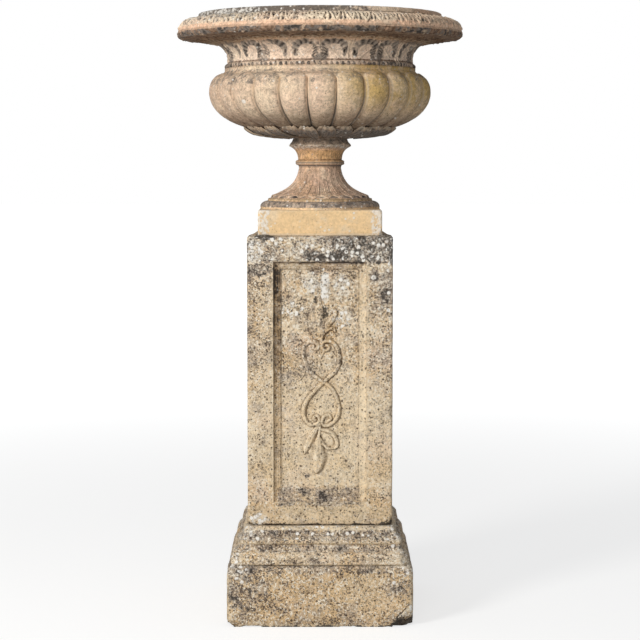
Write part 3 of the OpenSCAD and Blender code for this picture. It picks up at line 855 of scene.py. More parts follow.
def makeBelly(material):
    s = bowlSizes
    outline, start, end = bellyOutline(s)
    piece = turnPiece("bowlBelly", outline, urnSeat, 2 * s["gadroons"], s["columns"])
    shape = Turned(piece, outline, urnSeat)
    low, high = shape.lengths[start], shape.lengths[end - 1]
    share = np.clip((shape.along - low) / (high - low), 0, 1)
    onBelly = (shape.along >= low - 0.01) & (shape.along <= high + 0.01)
    lobe = (shape.turn - s["firstLobe"]) / (360 / s["gadroons"])
    side = (lobe - np.round(lobe)) * 2
    # the lobes swell from the calyx, and each ends in a round crown under a plain shoulder
    crown = np.sqrt(np.clip(1 - side ** 2, 0, 1))
    crownAt = 0.866 + 0.082 * crown
    inCrown = 1 / (1 + np.exp((share - crownAt) / 0.008))
    swell = np.sqrt(np.clip(1 - 0.96 * side ** 2, 0, 1))
    joint = 0.34 * ridge(np.abs(side), 1, 0.05)
    fillet = ridge(share, crownAt - 0.010, 0.009)
    foot = np.clip(0.35 + share * 2.2, 0, 1)
    depth = -s["joint"] * foot * ((1 - swell) * 1.15 + joint)
    shoulder = -s["joint"] * 0.42
    relief = np.where(onBelly, (depth + 0.8 * fillet) * inCrown + shoulder * (1 - inCrown), 0)
    relief = np.where(share > 0.95, relief * np.clip((1 - share) / 0.05, 0, 1), relief)
    # the seams are darkened by dirt and painted shade; the crowns' fillets and the lobes' left sides carry
    # painted highlights
    seam = ridge(np.abs(side), 1, 0.07) * np.clip((0.80 - share) / 0.5, 0.2, 1)
    leftEdge = ridge(side, -0.84, 0.06) * np.clip((share - 0.3) / 0.2, 0, 1)
    mark = (0.8 * seam - 0.7 * fillet - 0.6 * leftEdge) * inCrown * onBelly
    points = readPoints(piece)
    lumps = 0.55 * roughness(points, 45, 3, 3) + 0.2 * roughness(points, 8, 5, 2)
    shape.carve(relief + np.where(shape.along < high + 12, lumps, 0))
    wear(piece, ((26, 0.8, 2), (5, 0.5, 2)))
    return finishPiece(piece, "urn_bowl", "bowl_course", material, mark)


calyxSizes = {"leaves": 24, "inner": 84, "outer": 169, "half": 25, "thick": 3.2, "across": 16, "along": 26}


def makeCalyx(material):
    # one broad leaf with an upturned, waved edge is modelled, and copies overlap round the bowl
    s = calyxSizes
    deselectAll()
    ops.mesh.primitive_grid_add(x_subdivisions=s["across"], y_subdivisions=s["along"], size=2)
    first = bpy.context.object
    first.name = "calyxLeaves"
    grid = readPoints(first) * mm
    a = grid[:, 0]
    t = (grid[:, 1] + 1) / 2
    rounded = np.sqrt(np.clip(1 - np.clip((t - 0.62) / 0.42, 0, 1) ** 2.4, 0.02, 1))
    across = a * s["half"] * (0.5 + 0.5 * t) * rounded
    radial = s["inner"] + (s["outer"] - s["inner"]) * t
    under = np.interp(radial, (74, 120, 148, 170), (1.6, 5.2, 9.4, 15.5))
    curl = 7.5 * np.clip((t - 0.72) / 0.28, 0, 1) ** 2 + 2.2 * np.abs(a) ** 3 * np.clip(t * 1.5 - 0.3, 0, 1)
    wave = 1.3 * np.sin(a * 9) * np.clip((t - 0.55) / 0.45, 0, 1)
    rib = -1.1 * ridge(a, 0, 0.16) + 0.7 * np.cos(a * 12)
    tilt = -2.4 * a
    lip = np.clip((np.maximum(np.abs(a), t) - 0.86) / 0.08, 0, 1)
    mark = 0.8 * (1 - lip) * (0.6 + 0.4 * np.cos(a * 12 + 3)) - 0.45 * lip
    height = under + curl + wave + rib * (1 - 0.4 * t) + tilt + 1.4
    writePoints(first, np.stack([across, -radial, height + urnSeat], 1))
    ops.object.modifier_add(type="SOLIDIFY")
    first.modifiers[-1].thickness = s["thick"] * mm
    first.modifiers[-1].offset = 0
    ops.object.modifier_apply(modifier=first.modifiers[-1].name)
    base = readPoints(first)
    leaves = [first] + [copyPiece(first) for i in range(1, s["leaves"])]
    for i, leaf in enumerate(leaves):
        turn = math.tau / s["leaves"] * (i + 0.35 + 0.10 * math.sin(i * 4.1))
        lift = 1.6 * math.sin(i * 2.4)
        writePoints(leaf, turnAbout(base + (0, 0, lift), turn))
    joinPieces(leaves)
    ops.object.mode_set(mode="EDIT")
    faceOutward()
    wear(first, ((12, 1.2, 3), (4, 0.7, 2)))
    marks = np.tile(mark, 2 * s["leaves"])
    return finishPiece(first, "urn_bowl", "bowl_course", material, marks)


neckSizes = {"units": 10, "sectors": 48, "columns": 17, "grid": 1.7, "unitRadius": 206, "foot": 2.5}


def neckStrokes():
    # one unit of the neck's leafage, mirrored about its spine: the spine, its teeth and a small wing
    strokes = [(((0, -2), (0.6, 12), (-0.4, 26), (0, 42)), (4, 3.4, 3.4, 3), 3.4, 0)]
    for k in range(5):
        low = 6 + 6.2 * k
        strokes.append((((1, low + 3), (9, low + 1.5), (18 - 1.4 * k, low - 4)), (3.2, 3.4, 1.6), 3.2, 0))
    strokes.append((((44, 0), (33, 9), (22, 18), (14, 26)), (2.4, 3.2, 3.2, 2.6), 2.2, 0))
    # the plain stem between two arches, and a palmette at the foot of the spine
    strokes.append((((60.4, -2), (60.6, 18), (61.5, 36), (63.5, 54)), (2.2, 2.2, 2.6, 3), 2.6, 0))
    for k in range(4):
        turn = math.radians(20 + 45 * k)
        strokes.append((((0, -3), (11 * math.cos(turn), 7 * math.sin(turn))), (2, 3.4), 3.0, 0))
    # the tips run on under the rim as broad curls with raised edges
    for at in (13, 39, 64.7):
        curl = ((at - 12, 56), (at - 9, 72), (at, 80), (at + 9, 72), (at + 12, 56))
        strokes.append((curl, (2.4, 3, 3.4, 3, 2.4), 3.2, 0))
        strokes.append((((at, 60), (at, 72)), (8, 6), 2.4, 0.5))
        strokes.append((((at - 13, 78), (at - 10, 92), (at - 3, 100)), (2.4, 3.2, 2.4), 2.8, 0))
    return strokes


def neckCrown(u, v):
    # the toothed band of each arch: its relief, and how far a point lies inside it, 0 to 1
    path = throughPoints(((52, 8), (53, 20), (48, 32), (38, 40), (27, 42), (16, 39), (8, 32)))
    inside = np.clip((1.15 - strokeReach(u, v, path, (9, 14, 18, 19, 17, 11))) / 0.3, 0, 1)
    turn = np.arctan2(v - 14, u - 28)
    teeth = 0.5 + 0.5 * np.cos(turn * 14)
    return inside * (3.4 * teeth - 0.8), inside * (0.92 - 0.50 * teeth)


def neckFan(u, v):
    # the small ribbed fan at the foot of each spine
    inside = np.clip((1.1 - np.hypot(u / 18, (v - 11) / 20)) / 0.3, 0, 1)
    ribs = 0.5 + 0.5 * np.cos(np.arctan2(v + 4, u) * 18)
    return inside * (0.80 - 0.45 * ribs)


def neckDishes():
    # hollows between the teeth of the spine
    return [((9.5, 8 + 6.4 * k), (9 - 0.6 * k, 3.3), -22, 0.8) for k in range(5)]


def neckOutline():
    s = bowlSizes
    z = s["bellyHigh"] + 62
    soffitStart = (s["neck"] + 18, 206)
    low = (202, 152)
    foot = arc((206.5, 159), (4.5, 4.5), -60, 60, 8)
    approach = fine([low, foot[0]], 3)
    neck = cubic((s["neck"] + 0.5, z + 0.5), (s["neck"] - 1, z + 17), (s["neck"] + 5, 196), soffitStart, 30)
    soffit = fine([soffitStart, (240, 211.5), (262, 215.5), (s["rim"] - 14, 218.6)], neckSizes["grid"])
    inside = cubic((232, 266), (198, 240), (176, 204), (174, 176), 14)
    outline = (approach + foot[1:] + neck + soffit[1:]
               + fine([soffit[-1], (s["rim"] - 15, 224), (inside[0][0] + 2, 262), inside[0]], 14)[1:]
               + inside[1:] + fine([inside[-1], (175, 157), low], 9)[1:-1])
    return outline, len(approach) + len(foot) - 1


def makeNeck(material):
    n = neckSizes
    outline, start = neckOutline()
    piece = turnPiece("bowlNeck", outline, urnSeat, n["sectors"], n["columns"])
    shape = Turned(piece, outline, urnSeat)
    points = readPoints(piece)
    drift = roughness(points, 20, 21, 2)
    up = shape.along - shape.lengths[start] - n["foot"] + 1.2 * drift
    step = 360 / n["units"]
    unit = shape.turn / step - np.round(shape.turn / step)
    u = np.abs(unit * math.radians(step) * n["unitRadius"] + 1.4 * drift)
    carved = (up > -4) & (up < 124) & (shape.radius > 200)
    relief = np.zeros(len(u))
    relief[carved] = strokeRelief(u[carved], up[carved], neckStrokes())
    dish, mark = dishRelief(u, up, neckDishes())
    band, bandMark = neckCrown(u, up)
    relief = np.where(carved & (relief <= 0), np.maximum(dish, -0.4) - 1.6 * mark, relief)
    relief = np.where(carved & (bandMark > 0), np.maximum(relief * 0.4, band), relief)
    # a slot is drilled at each foot of the arch
    hole = np.hypot((u - 53.2) / 2.2, (up - 15) / 4.4)
    relief = np.where(carved & (hole < 1.25), np.minimum(relief, -7 * np.clip(1.25 - hole, 0, 1)), relief)
    mark = np.maximum(np.maximum(0.75 * mark * (relief < 2.4), bandMark), neckFan(u, up))
    mark = np.where(hole < 1.4, np.clip(2.4 - 1.4 * hole, 0, 1), mark) * carved
    worn = roughness(points, 22, 6, 3)
    mark *= np.clip(0.75 + 0.8 * worn + 0.6 * roughness(points, 7, 16, 2), 0.1, 1)
    relief *= np.clip(0.9 + 0.3 * worn, 0.5, 1.1)
    relief += np.where(carved, 0.35 * roughness(points, 6, 8, 2), 0)
    shape.carve(relief)
    wear(piece, ((14, 0.7, 2), (4, 0.5, 2)))
    return finishPiece(piece, "urn_bowl", "bowl_course", material, mark)


beadSizes = {"count": 108, "radius": 208.8, "height": 157.6, "bead": 4.8}


def makeBeads(material):
    s = beadSizes
    centre = np.array([0, -s["radius"], urnSeat + s["height"]])
    deselectAll()
    ops.mesh.primitive_uv_sphere_add(segments=10, ring_count=7, radius=s["bead"] * mm,
                                     location=tuple(centre * mm))
    first = bpy.context.object
    first.name = "bowlBeads"
    ops.object.transform_apply(location=True, rotation=False, scale=False)
    base = readPoints(first)
    beads = [first] + [copyPiece(first) for i in range(1, s["count"])]
    rng = np.random.default_rng(4)
    for i, bead in enumerate(beads):
        squash = 1 + 0.10 * rng.standard_normal(3)
        body = (base - centre) * squash * (1, 0.9, 1.05) + centre
        body[:, 1] += 0.5 * abs(rng.standard_normal())
        writePoints(bead, turnAbout(body, math.tau * i / s["count"]))
    joinPieces(beads)
    return finishPiece(first, "urn_bowl", "bowl_course", material)


rimSizes = {
    "units": 60, "unitWide": 33, "sectors": 60, "columns": 20, "grid": 1.9, "plain": 8, "tall": 44,
    # drilled holes of one unit, as (across, up, half width, half height)
    "holes": ((12.0, 7, 2.8, 4.4), (3.8, 19, 2.0, 4.5), (13.4, 25, 2.0, 5.5), (6.6, 34, 2.8, 3.2)),
    # bites out of the edge, as (turn, height, size, depth)
    "bites": ((-8, 229, 12, 1), (-31, 228, 16, 2), (24, 230, 14, 1.5), (63, 228, 18, 3),
              (-66, 228, 20, 3), (110, 229, 22, 3), (170, 230, 18, 3), (-130, 229, 20, 3)),
}


def rimOutline():
    s = bowlSizes
    top = s["height"]
    edge = arc((s["rim"] - 12.5, top - 43), (12.5, 12.5), -90, 0, 10)
    ovolo = arc((s["lip"] + 6, top - 33), (s["rim"] - s["lip"] - 9.5, 21), 8, 76, 24)
    lip = [(s["lip"] + 2, top - 11)] + arc((s["lip"] - 4, top - 4), (4, 4), 0, 90, 5)
    inner = [(s["lip"] - 4, top), (s["mouth"], top), (232, 266), (227, 262)]
    start = len(fine(edge, rimSizes["grid"]))
    outline = (fine(edge + ovolo + lip, rimSizes["grid"]) + fine(inner, 9)[1:]
               + fine([(227, 262), (s["rim"] - 19, 222), edge[0]], 30)[1:-1])
    return outline, start


def rimStrokes():
    # one unit of the leaf and dart, mirrored later
    return [(((1.6, 1), (6.0, 12), (10.5, 31)), (5, 6, 6.8), 4.2, 0.3),
            (((0, 7), (0, 30)), (3.4, 4.6), 3.0, 0),
            (((16.5, 1), (16.5, 17), (16.5, 33)), (4.4, 5.2, 6.4), 4.0, 0),
            (((0, 36), (8, 37), (16.5, 36)), (3, 3, 3), 2.0, 0)]


def eggStrokes():
    # half of one lump of the rim's underside, with its raised edge
    return [(((0, -1), (0, -9)), (15, 11), 2.6, 0),
            (((16, 0), (14, -9), (8, -15), (0, -17)), (3.4, 3.8, 3.8, 3.4), 1.6, 0)]


def makeRim(material):
    r = rimSizes
    outline, start = rimOutline()
    piece = turnPiece("bowlRim", outline, urnSeat, r["sectors"], r["columns"])
    shape = Turned(piece, outline, urnSeat)
    beyond = shape.along - shape.lengths[start]
    points = readPoints(piece)
    drift = roughness(points, 20, 17, 3)
    up = beyond - r["plain"] + 2.6 * drift
    unit = shape.turn / 360 * r["units"]
    u = np.abs(np.abs(unit - np.round(unit)) * r["unitWide"] + 3.0 * drift)
    relief = np.zeros(len(u))
    mark = np.zeros(len(u))
    # leaves and darts stand on a sunk ground that begins and ends with them
    carved = (up > -2) & (up < r["tall"]) & (shape.radius > 270)
    ground = np.clip(up[carved] / 3, 0, 1) * np.clip((r["tall"] - up[carved]) / 4, 0, 1)
    relief[carved] = strokeRelief(u[carved], up[carved], rimStrokes()) - 1.4 * ground
    # the underside is worn to lumps, with soot between them and a painted highlight on their tops
    under = (beyond < -2) & (shape.radius > 296)
    lumps = np.clip(1.9 * roughness(points[under], 9, 41, 2), -0.4, 1)
    fade = np.clip((-1.0 - beyond[under]) / 2.5, 0, 1)
    relief[under] = (0.4 * strokeRelief(u[under], beyond[under], eggStrokes()) + 2.4 * lumps) * fade
    mark[under] = np.clip(0.75 - 1.3 * lumps, -0.45, 0.9) * fade
    for atU, atV, halfU, halfV in r["holes"]:
        hole = np.hypot((u - atU) / halfU, (up - atV) / halfV)
        deep = carved & (hole < 1.2)
        relief = np.where(deep, np.minimum(relief, -4.5 * np.clip(1.2 - hole, 0, 1)), relief)
        mark = np.where(deep, np.maximum(mark, np.clip(1.6 - 1.2 * hole, 0, 1)), mark)
    worn = roughness(points, 40, 14, 3)
    mark *= np.clip(0.6 + 1.2 * worn + 0.5 * roughness(points, 9, 43, 2), 0, 1.1)
    relief = np.where(relief > -2, relief * np.clip(0.65 + 0.9 * worn, 0.12, 1.0), relief)
    outside = (beyond < 60) & (shape.radius > 262)
    relief += np.where(outside, 0.5 * roughness(points, 7, 15, 3) - 0.4, 0)
    shape.carve(relief)
    points = readPoints(piece)
    for turn, high, size, deep in r["bites"]:
        a = math.radians(turn)
        radius = bowlSizes["rim"] - 0.5 - deep
        at = (radius * math.sin(a), -radius * math.cos(a), urnSeat + high)
        points = chip(points, at, (math.sin(a), -math.cos(a), -0.6), size, 1.2)
    writePoints(piece, points)
    wear(piece, ((18, 1.0, 2), (4.5, 0.8, 2)))
    return finishPiece(piece, "urn_bowl", "bowl_course", material, mark)


# Materials. A paint's x, y and z are in metres from the ground, and bands and patches in millimetres.

class Wire:
    # one socket of a material: an operator on it adds its Math node
    def __init__(self, paint, socket):
        self.paint = paint
        self.socket = socket

    def maths(self, operation, first, second):
        return self.paint.node("Math", {"operation": operation}, {0: first, 1: second})

    def __add__(self, other):
        return self.maths("ADD", self, other)

    def __radd__(self, other):
        return self.maths("ADD", other, self)

    def __sub__(self, other):
        return self.maths("SUBTRACT", self, other)

    def __rsub__(self, other):
        return self.maths("SUBTRACT", other, self)

    def __mul__(self, other):
        return self.maths("MULTIPLY", self, other)

    def __rmul__(self, other):
        return self.maths("MULTIPLY", other, self)

    def __truediv__(self, other):
        return self.maths("DIVIDE", self, other)

    def __pow__(self, other):
        return self.maths("POWER", self, other)

    def unsigned(self):
        return self.maths("ABSOLUTE", self, 0)

    def orMore(self, other):
        return self.maths("MAXIMUM", self, other)

    def orLess(self, other):
        return self.maths("MINIMUM", self, other)

    def above(self, low, high):
        # 0 below low, 1 above high, smooth between; low may be the higher
        settings = {"interpolation_type": "SMOOTHSTEP", "clamp": True}
        return self.paint.node("MapRange", settings, {"Value": self, "From Min": low, "From Max": high})


class Paint:
    # the nodes of one material, with its surface's own place in space
    def __init__(self, name):
        self.material = bpy.data.materials.new(name)
        self.material.use_nodes = True
        self.tree = self.material.node_tree
        self.shader = self.tree.nodes["Principled BSDF"]
        self.place = self.node("TexCoord", output="Object")
        parts = self.tree.nodes.new("ShaderNodeSeparateXYZ")
        self.tree.links.new(self.place.socket, parts.inputs[0])
        self.x, self.y, self.z = (Wire(self, parts.outputs[i]) for i in range(3))

    def node(self, kind, settings=None, inputs=None, output=0):
        made = self.tree.nodes.new("ShaderNode" + kind)
        for key, value in (settings or {}).items():
            setattr(made, key, value)
        for key, value in (inputs or {}).items():
            if isinstance(value, Wire):
                self.tree.links.new(value.socket, made.inputs[key])
            else:
                made.inputs[key].default_value = value
        return Wire(self, made.outputs[output])

    def moved(self, shift, stretch=(1, 1, 1)):
        return self.node("Mapping", None, {"Vector": self.place, "Location": shift, "Scale": stretch})

    def cloud(self, size, levels=4, rough=0.55, shift=0.0, stretch=(1, 1, 1), twist=0.0):
        # noise whose lumps are about a size across, in millimetres
        place = self.moved((shift, shift * 0.7, -shift * 0.4), stretch)
        return self.node("TexNoise", None, {"Vector": place, "Scale": 1000 / size, "Detail": levels,
                                            "Roughness": rough, "Distortion": twist})

    def specks(self, size, shift=0.0):
        # distance from the nearest speck's centre, and a random number for that speck
        place = self.moved((shift, -shift, shift * 0.3))
        made = self.tree.nodes.new("ShaderNodeTexVoronoi")
        made.inputs["Scale"].default_value = 1000 / size
        self.tree.links.new(place.socket, made.inputs["Vector"])
        chance = self.node("SeparateColor", None, {0: Wire(self, made.outputs["Color"])})
        return Wire(self, made.outputs["Distance"]), chance

    def blend(self, under, over, share, how="MIX"):
        inputs = {0: share, 6: under if isinstance(under, Wire) else (*under, 1),
                  7: over if isinstance(over, Wire) else (*over, 1)}
        return self.node("Mix", {"data_type": "RGBA", "blend_type": how, "clamp_result": False}, inputs, 2)

    def hollow(self, name):
        return self.node("Attribute", {"attribute_name": name}, None, "Fac")

    def patch(self, centre, reach, soft=0.5):
        # 1 inside a rounded patch of the object, fading out past its edge; lengths in millimetres
        total = None
        for axis, c, r in zip((self.x, self.y, self.z), centre, reach):
            if r is None:
                continue
            part = ((axis - c * mm) / (r * mm)) ** 2
            total = part if total is None else total + part
        return total.above(1 + soft, 1 - soft)

    def finish(self, colour, rough, heights, specular=0.35):
        # heights are (height, depth in millimetres), one bump over another
        normal = None
        for height, depth in heights:
            inputs = {"Height": height, "Distance": depth * mm, "Strength": 1.0}
            if normal is not None:
                inputs["Normal"] = normal
            normal = self.node("Bump", None, inputs)
        for name, wire in (("Base Color", colour), ("Roughness", rough), ("Normal", normal)):
            self.tree.links.new(wire.socket, self.shader.inputs[name])
        self.shader.inputs["Specular IOR Level"].default_value = specular
        return self.material


stoneColours = {
    "buff": (0.74, 0.59, 0.405), "sand": (0.665, 0.51, 0.335), "pink": (0.735, 0.53, 0.37),
    "straw": (0.84, 0.70, 0.49), "ochre": (0.66, 0.44, 0.215), "grey": (0.36, 0.305, 0.26),
    "ash": (0.60, 0.55, 0.48), "black": (0.030, 0.025, 0.022), "white": (1.0, 0.96, 0.89),
    "pit": (0.085, 0.05, 0.03), "pepper": (0.11, 0.08, 0.06), "salt": (0.95, 0.86, 0.71),
    # this brown is both soil and painted shade
    "dirtAndShade": (0.17, 0.10, 0.045),
}


def stone(name, places, bite):
    # worn composition stone; places are functions of the paint that say where black lichen (grime, with a
    # patch of painted shadow), white lichen (bloom, with painted highlights on the base), brown soil, warm
    # stains, painted black shade (joint) and a clean pale face with painted highlights (light) lie, 0 to 1;
    # bite is the size and strength of its fine specks
    c = stoneColours
    p = Paint(name)
    fineHollow = p.hollow("fineHollow")
    wideHollow = p.hollow("wideHollow")
    mark = p.hollow("mark")
    kinds = ("grime", "bloom", "soil", "warm", "joint", "light")
    dark, pale, brown, warm, joint, light = (places[kind](p) for kind in kinds)
    colour = p.blend(c["sand"], c["buff"], p.cloud(120, 4, 0.6).above(0.38, 0.62))
    colour = p.blend(colour, c["pink"], p.cloud(90, 3, 0.5, 3.1).above(0.50, 0.70) * 0.6)
    colour = p.blend(colour, c["ochre"], (p.cloud(60, 4, 0.6, 5.7) + 0.22 * warm).above(0.54, 0.74) * 0.7)
    # a clean pale face, with painted highlights where faces catch the light
    colour = p.blend(colour, c["straw"], light * 0.6)
    stains = p.cloud(48, 7, 0.78, 8.3) + 0.24 * (dark - 0.32) - 0.04 * light
    colour = p.blend(colour, c["grey"], stains.above(0.48, 0.61) * 0.56)
    # coarse sand and small stones, each of its own tone
    sand = p.cloud(5.5, 4, 0.8, 1.9)
    own = p.specks(5.2, 3.3)[1]
    blotch = p.cloud(20, 3, 0.6, 6.1).above(0.32, 0.68)
    tone = (0.56 + 0.56 * sand.above(0.32, 0.68) + 0.24 * own + 0.20 * blotch).orLess(1.22)
    colour = p.blend(colour, p.node("CombineColor", None, {0: tone, 1: tone, 2: tone}), 1.0, "MULTIPLY")
    # fine dark and pale specks of the worn face, thicker in some places than in others
    thick = p.cloud(34, 4, 0.7, 2.6)
    clear = 0.82 * bite * (1 - 0.55 * light)
    pepper = p.cloud(4.3, 3, 0.8, 2.7) + 0.50 * (thick - 0.5) + 0.12 * (dark - 0.3) - 0.03 * light
    colour = p.blend(colour, c["pepper"], pepper.above(0.555, 0.585) * clear)
    salt = p.cloud(5.0, 3, 0.8, 7.4) - 0.30 * (thick - 0.5) + 0.16 * (pale - 0.2)
    colour = p.blend(colour, c["salt"], salt.above(0.555, 0.585) * clear)
    # soil and painted shade in the hollows and under the mouldings, and dirt with painted shade from the
    # carving's marks
    lodgedAndShaded = fineHollow.above(0.10, 0.6) * 0.7 + wideHollow.above(0.5, 2.2) * 0.6 + brown
    carvedDirtAndShade = mark.orMore(0).orLess(1) * (0.48 + 0.6 * sand)
    dirtAndShadeMask = (lodgedAndShaded * p.cloud(10, 4, 0.75, 4.4).above(0.30, 0.52) + carvedDirtAndShade).orLess(1)
    colour = p.blend(colour, c["dirtAndShade"], dirtAndShadeMask * 0.86)
    # pale on worn edges, and a painted highlight where the carving's mark is below 0
    worn = (fineHollow * -1).above(0.12, 0.6) * (1 - 0.6 * dark)
    colour = p.blend(colour, c["straw"], (worn * 0.45 + (mark * -1).orMore(0) * 0.7).orLess(1))
    # black lichen in ragged specks over a grey film; they run together where there is much of it
    ragged = p.cloud(17, 7, 0.76, 6.6) + 0.36 * (dark - 0.5)
    broken = p.cloud(6, 4, 0.75, 7.1)
    film = (ragged + 0.25 * (broken - 0.5)).above(0.50, 0.60)
    colour = p.blend(colour, c["grey"], film * 0.5)
    # black lichen, with painted black shade from joint and where the carving's mark passes 1
    blackMask = (ragged + 0.55 * (broken - 0.5) + (mark - 1).orMore(0) * 0.9 + joint).above(0.585, 0.635)
    colour = p.blend(colour, c["black"], blackMask * 0.88)
    # white lichen in ragged crusts, and here and there a small round one
    flour = p.cloud(10.5, 5, 0.78, 9.9) + 0.33 * (pale - 0.48)
    haze = flour.above(0.48, 0.57)
    colour = p.blend(colour, c["ash"], haze * 0.25)
    dot, luck = p.specks(11, 9.2)
    crust = (luck + 1.8 * pale - 1.36).above(0.0, 0.08) * (dot + 0.3 * sand - 0.15).above(0.42, 0.32)
    whiteMask = (flour.above(0.565, 0.605) + crust).orLess(1)
    colour = p.blend(colour, c["white"], whiteMask * 0.92)
    # open pits
    hole, odds = p.specks(9, 4.1)
    pitMask = (odds - 0.50).above(0.0, 0.1) * (hole + 0.35 * sand - 0.175).above(0.27, 0.15)
    prick, often = p.specks(5, 7.7)
    prickMask = (often - 0.55).above(0.0, 0.1) * (prick + 0.3 * sand - 0.15).above(0.31, 0.19)
    pitted = (pitMask + 0.8 * prickMask).orLess(1)
    colour = p.blend(colour, c["pit"], pitted * 0.84)
    rough = 0.93 - 0.08 * whiteMask
    relief = 0.9 * sand - 0.9 * pitted + 0.35 * whiteMask
    lumps = p.cloud(9, 5, 0.65, 3.9)
    return p.finish(colour, rough, ((lumps, 2.6), (relief, 1.6)))


def band(wire, low, high, soft):
    # 1 between two heights in millimetres, fading over a soft distance
    return wire.above((low - soft) * mm, low * mm) * wire.above((high + soft) * mm, high * mm)


def towardsCorners(p, low, high):
    # 0 along the middle of each side of a square course, 1 at its corners
    return p.x.unsigned().orLess(p.y.unsigned()).above(low * mm, high * mm)


def towardsFront(p):
    # 1 on the front and at its corners, fading out along the sides
    return p.y.above(-0.02, -0.13)


def pastBreak(p):
    # how far a point lies past the slanting edge of the base's broken corner
    return (p.x - 0.148) * 0.75 - p.z * 0.66 + 0.01 * (p.cloud(14, 3, 0.6, 1.7) - 0.5)


def breakFace(p):
    # the upper part of the break, where its face catches the light
    return pastBreak(p).above(0.0, 0.004) * p.z.above(0.02, 0.03) * p.y.above(-0.16, -0.18)


def baseGrime(p):
    shoulder = band(p.z, 122, 132, 8) * 0.26
    ledge = band(p.z, 188, 205, 6) * 0.30
    lowerTop = band(p.z, 164, 174, 4) * 0.34
    left = p.patch((-165, None, 75), (50, None, 55), 0.7) * 0.33
    right = p.patch((165, None, 85), (34, None, 24), 0.7) * 0.28
    dieFoot = p.z.above(0.03, 0.0) * 0.22
    return (0.26 + shoulder + ledge + lowerTop + left + right + dieFoot).orLess(1)


def baseBloomAndHighlight(p):
    corners = towardsCorners(p, 120, 185) * p.z.above(0.06, 0.14) * 0.26
    # on the ledge under the shaft, from 208.5 mm, and on the break's upper face the pale is a painted
    # highlight
    ledge = band(p.z, 190, 205, 6) * 0.16 + band(p.z, 208.5, 217, 1) * 0.22
    return (0.18 + corners + ledge + 0.4 * breakFace(p)).orLess(1)


def baseShade(p):
    # the broken corner and the lower edge are in black shade
    past = pastBreak(p)
    inFront = p.y.above(-0.15, -0.18)
    corner = past.above(0.0, 0.005) * p.z.above(0.034, 0.006) * inFront * 0.40
    edge = past.above(-0.003, 0.0) * past.above(0.004, 0.001) * p.z.above(0.06, 0.05) * inFront * 0.16
    foot = p.z.above(0.007, 0.0) * 0.16
    return corner + edge + foot


def baseSoil(p):
    quirks = band(p.z, 133.5, 136.5, 1) + band(p.z, 177.5, 180.5, 1)
    return (0.55 * quirks + 0.25 * p.z.above(0.03, 0.0)).orLess(1)


def baseLight(p):
    # painted highlights on the top of the ledge and on the break's upper face, and a paler patch on the die
    ledge = band(p.z, 207, 217, 1)
    die = p.patch((110, None, 70), (60, None, 50), 0.8)
    return (0.7 * ledge + 0.8 * breakFace(p) + 0.35 * die).orLess(1)


def baseWarm(p):
    quirks = band(p.z, 133.5, 136.5, 1.5) + band(p.z, 177.5, 180.5, 1.5)
    return 0.50 + 0.85 * p.z.above(0.14, 0.12) + 1.6 * quirks


def spots(p, places, soft):
    # patches on the front, as (place, half sizes, strength)
    return sum(p.patch(place, reach, soft) * strength for place, reach, strength in places)


def shaftGrimeAndShade(p):
    rail = band(p.z, 795, 850, 10) * (0.08 + (0.08 + 0.34 * p.x.above(0.01, 0.05)) * towardsFront(p))
    # the crisp black patch at -112 mm under the plinth's left end is painted shadow
    crisp = spots(p, (((0, None, 806), (42, None, 13), 0.38), ((142, -158, 740), (14, 40, 40), 0.36),
                      ((117, -158, 766), (11, 40, 16), 0.46), ((-136, -158, 776), (26, 45, 14), 0.40),
                      ((-112, None, 846), (16, None, 4), 0.5), ((-28, None, 324), (6, None, 6), 0.4)), 0.6)
    soft = spots(p, (((-70, None, 545), (26, None, 24), 0.26), ((-20, None, 560), (26, None, 16), 0.2),
                     ((-32, None, 290), (14, None, 8), 0.24), ((28, None, 322), (20, None, 12), 0.2)), 0.8)
    panelFoot = band(p.z, 264, 292, 10) * p.x.unsigned().above(0.098, 0.088) * 0.34
    lowSpot = p.patch((6, None, 280), (9, None, 12), 0.9) * 0.36
    leftSpot = p.patch((-119, None, 405), (12, None, 12), 0.7) * 0.3
    upper = p.z.above(0.50, 0.80) * 0.10
    edges = towardsCorners(p, 140, 158) * p.z.above(0.40, 0.75) * 0.12
    return (0.25 + rail + crisp + soft + panelFoot + lowSpot + leftSpot + upper + edges).orLess(1)


def shaftBloom(p):
    panel = spots(p, (((-20, None, 745), (18, None, 27), 0.44), ((11, None, 742), (11, None, 34), 0.70),
                      ((48, None, 745), (19, None, 27), 0.42)), 0.8)
    beside = spots(p, (((-60, None, 690), (26, None, 16), 0.34),
                       ((46, None, 672), (24, None, 26), 0.36)), 0.7)
    borders = spots(p, (((-142, -158, 812), (18, 45, 34), 0.26), ((142, -158, 700), (18, 40, 110), 0.16),
                        ((-134, -158, 226), (22, 40, 18), 0.46)), 0.6)
    disc = p.patch((116, -158, 761), (6, 20, 6), 0.5) * 0.6
    rail = band(p.z, 800, 850, 8) * (0.04 + (0.20 + 0.10 * p.x.above(0.01, 0.05)) * towardsFront(p))
    return (0.16 + panel + beside + borders + disc + rail).orLess(1)


def shaftSoil(p):
    return 0.30 * p.z.above(0.228, 0.216) + 0.14 * p.z.above(0.272, 0.252)


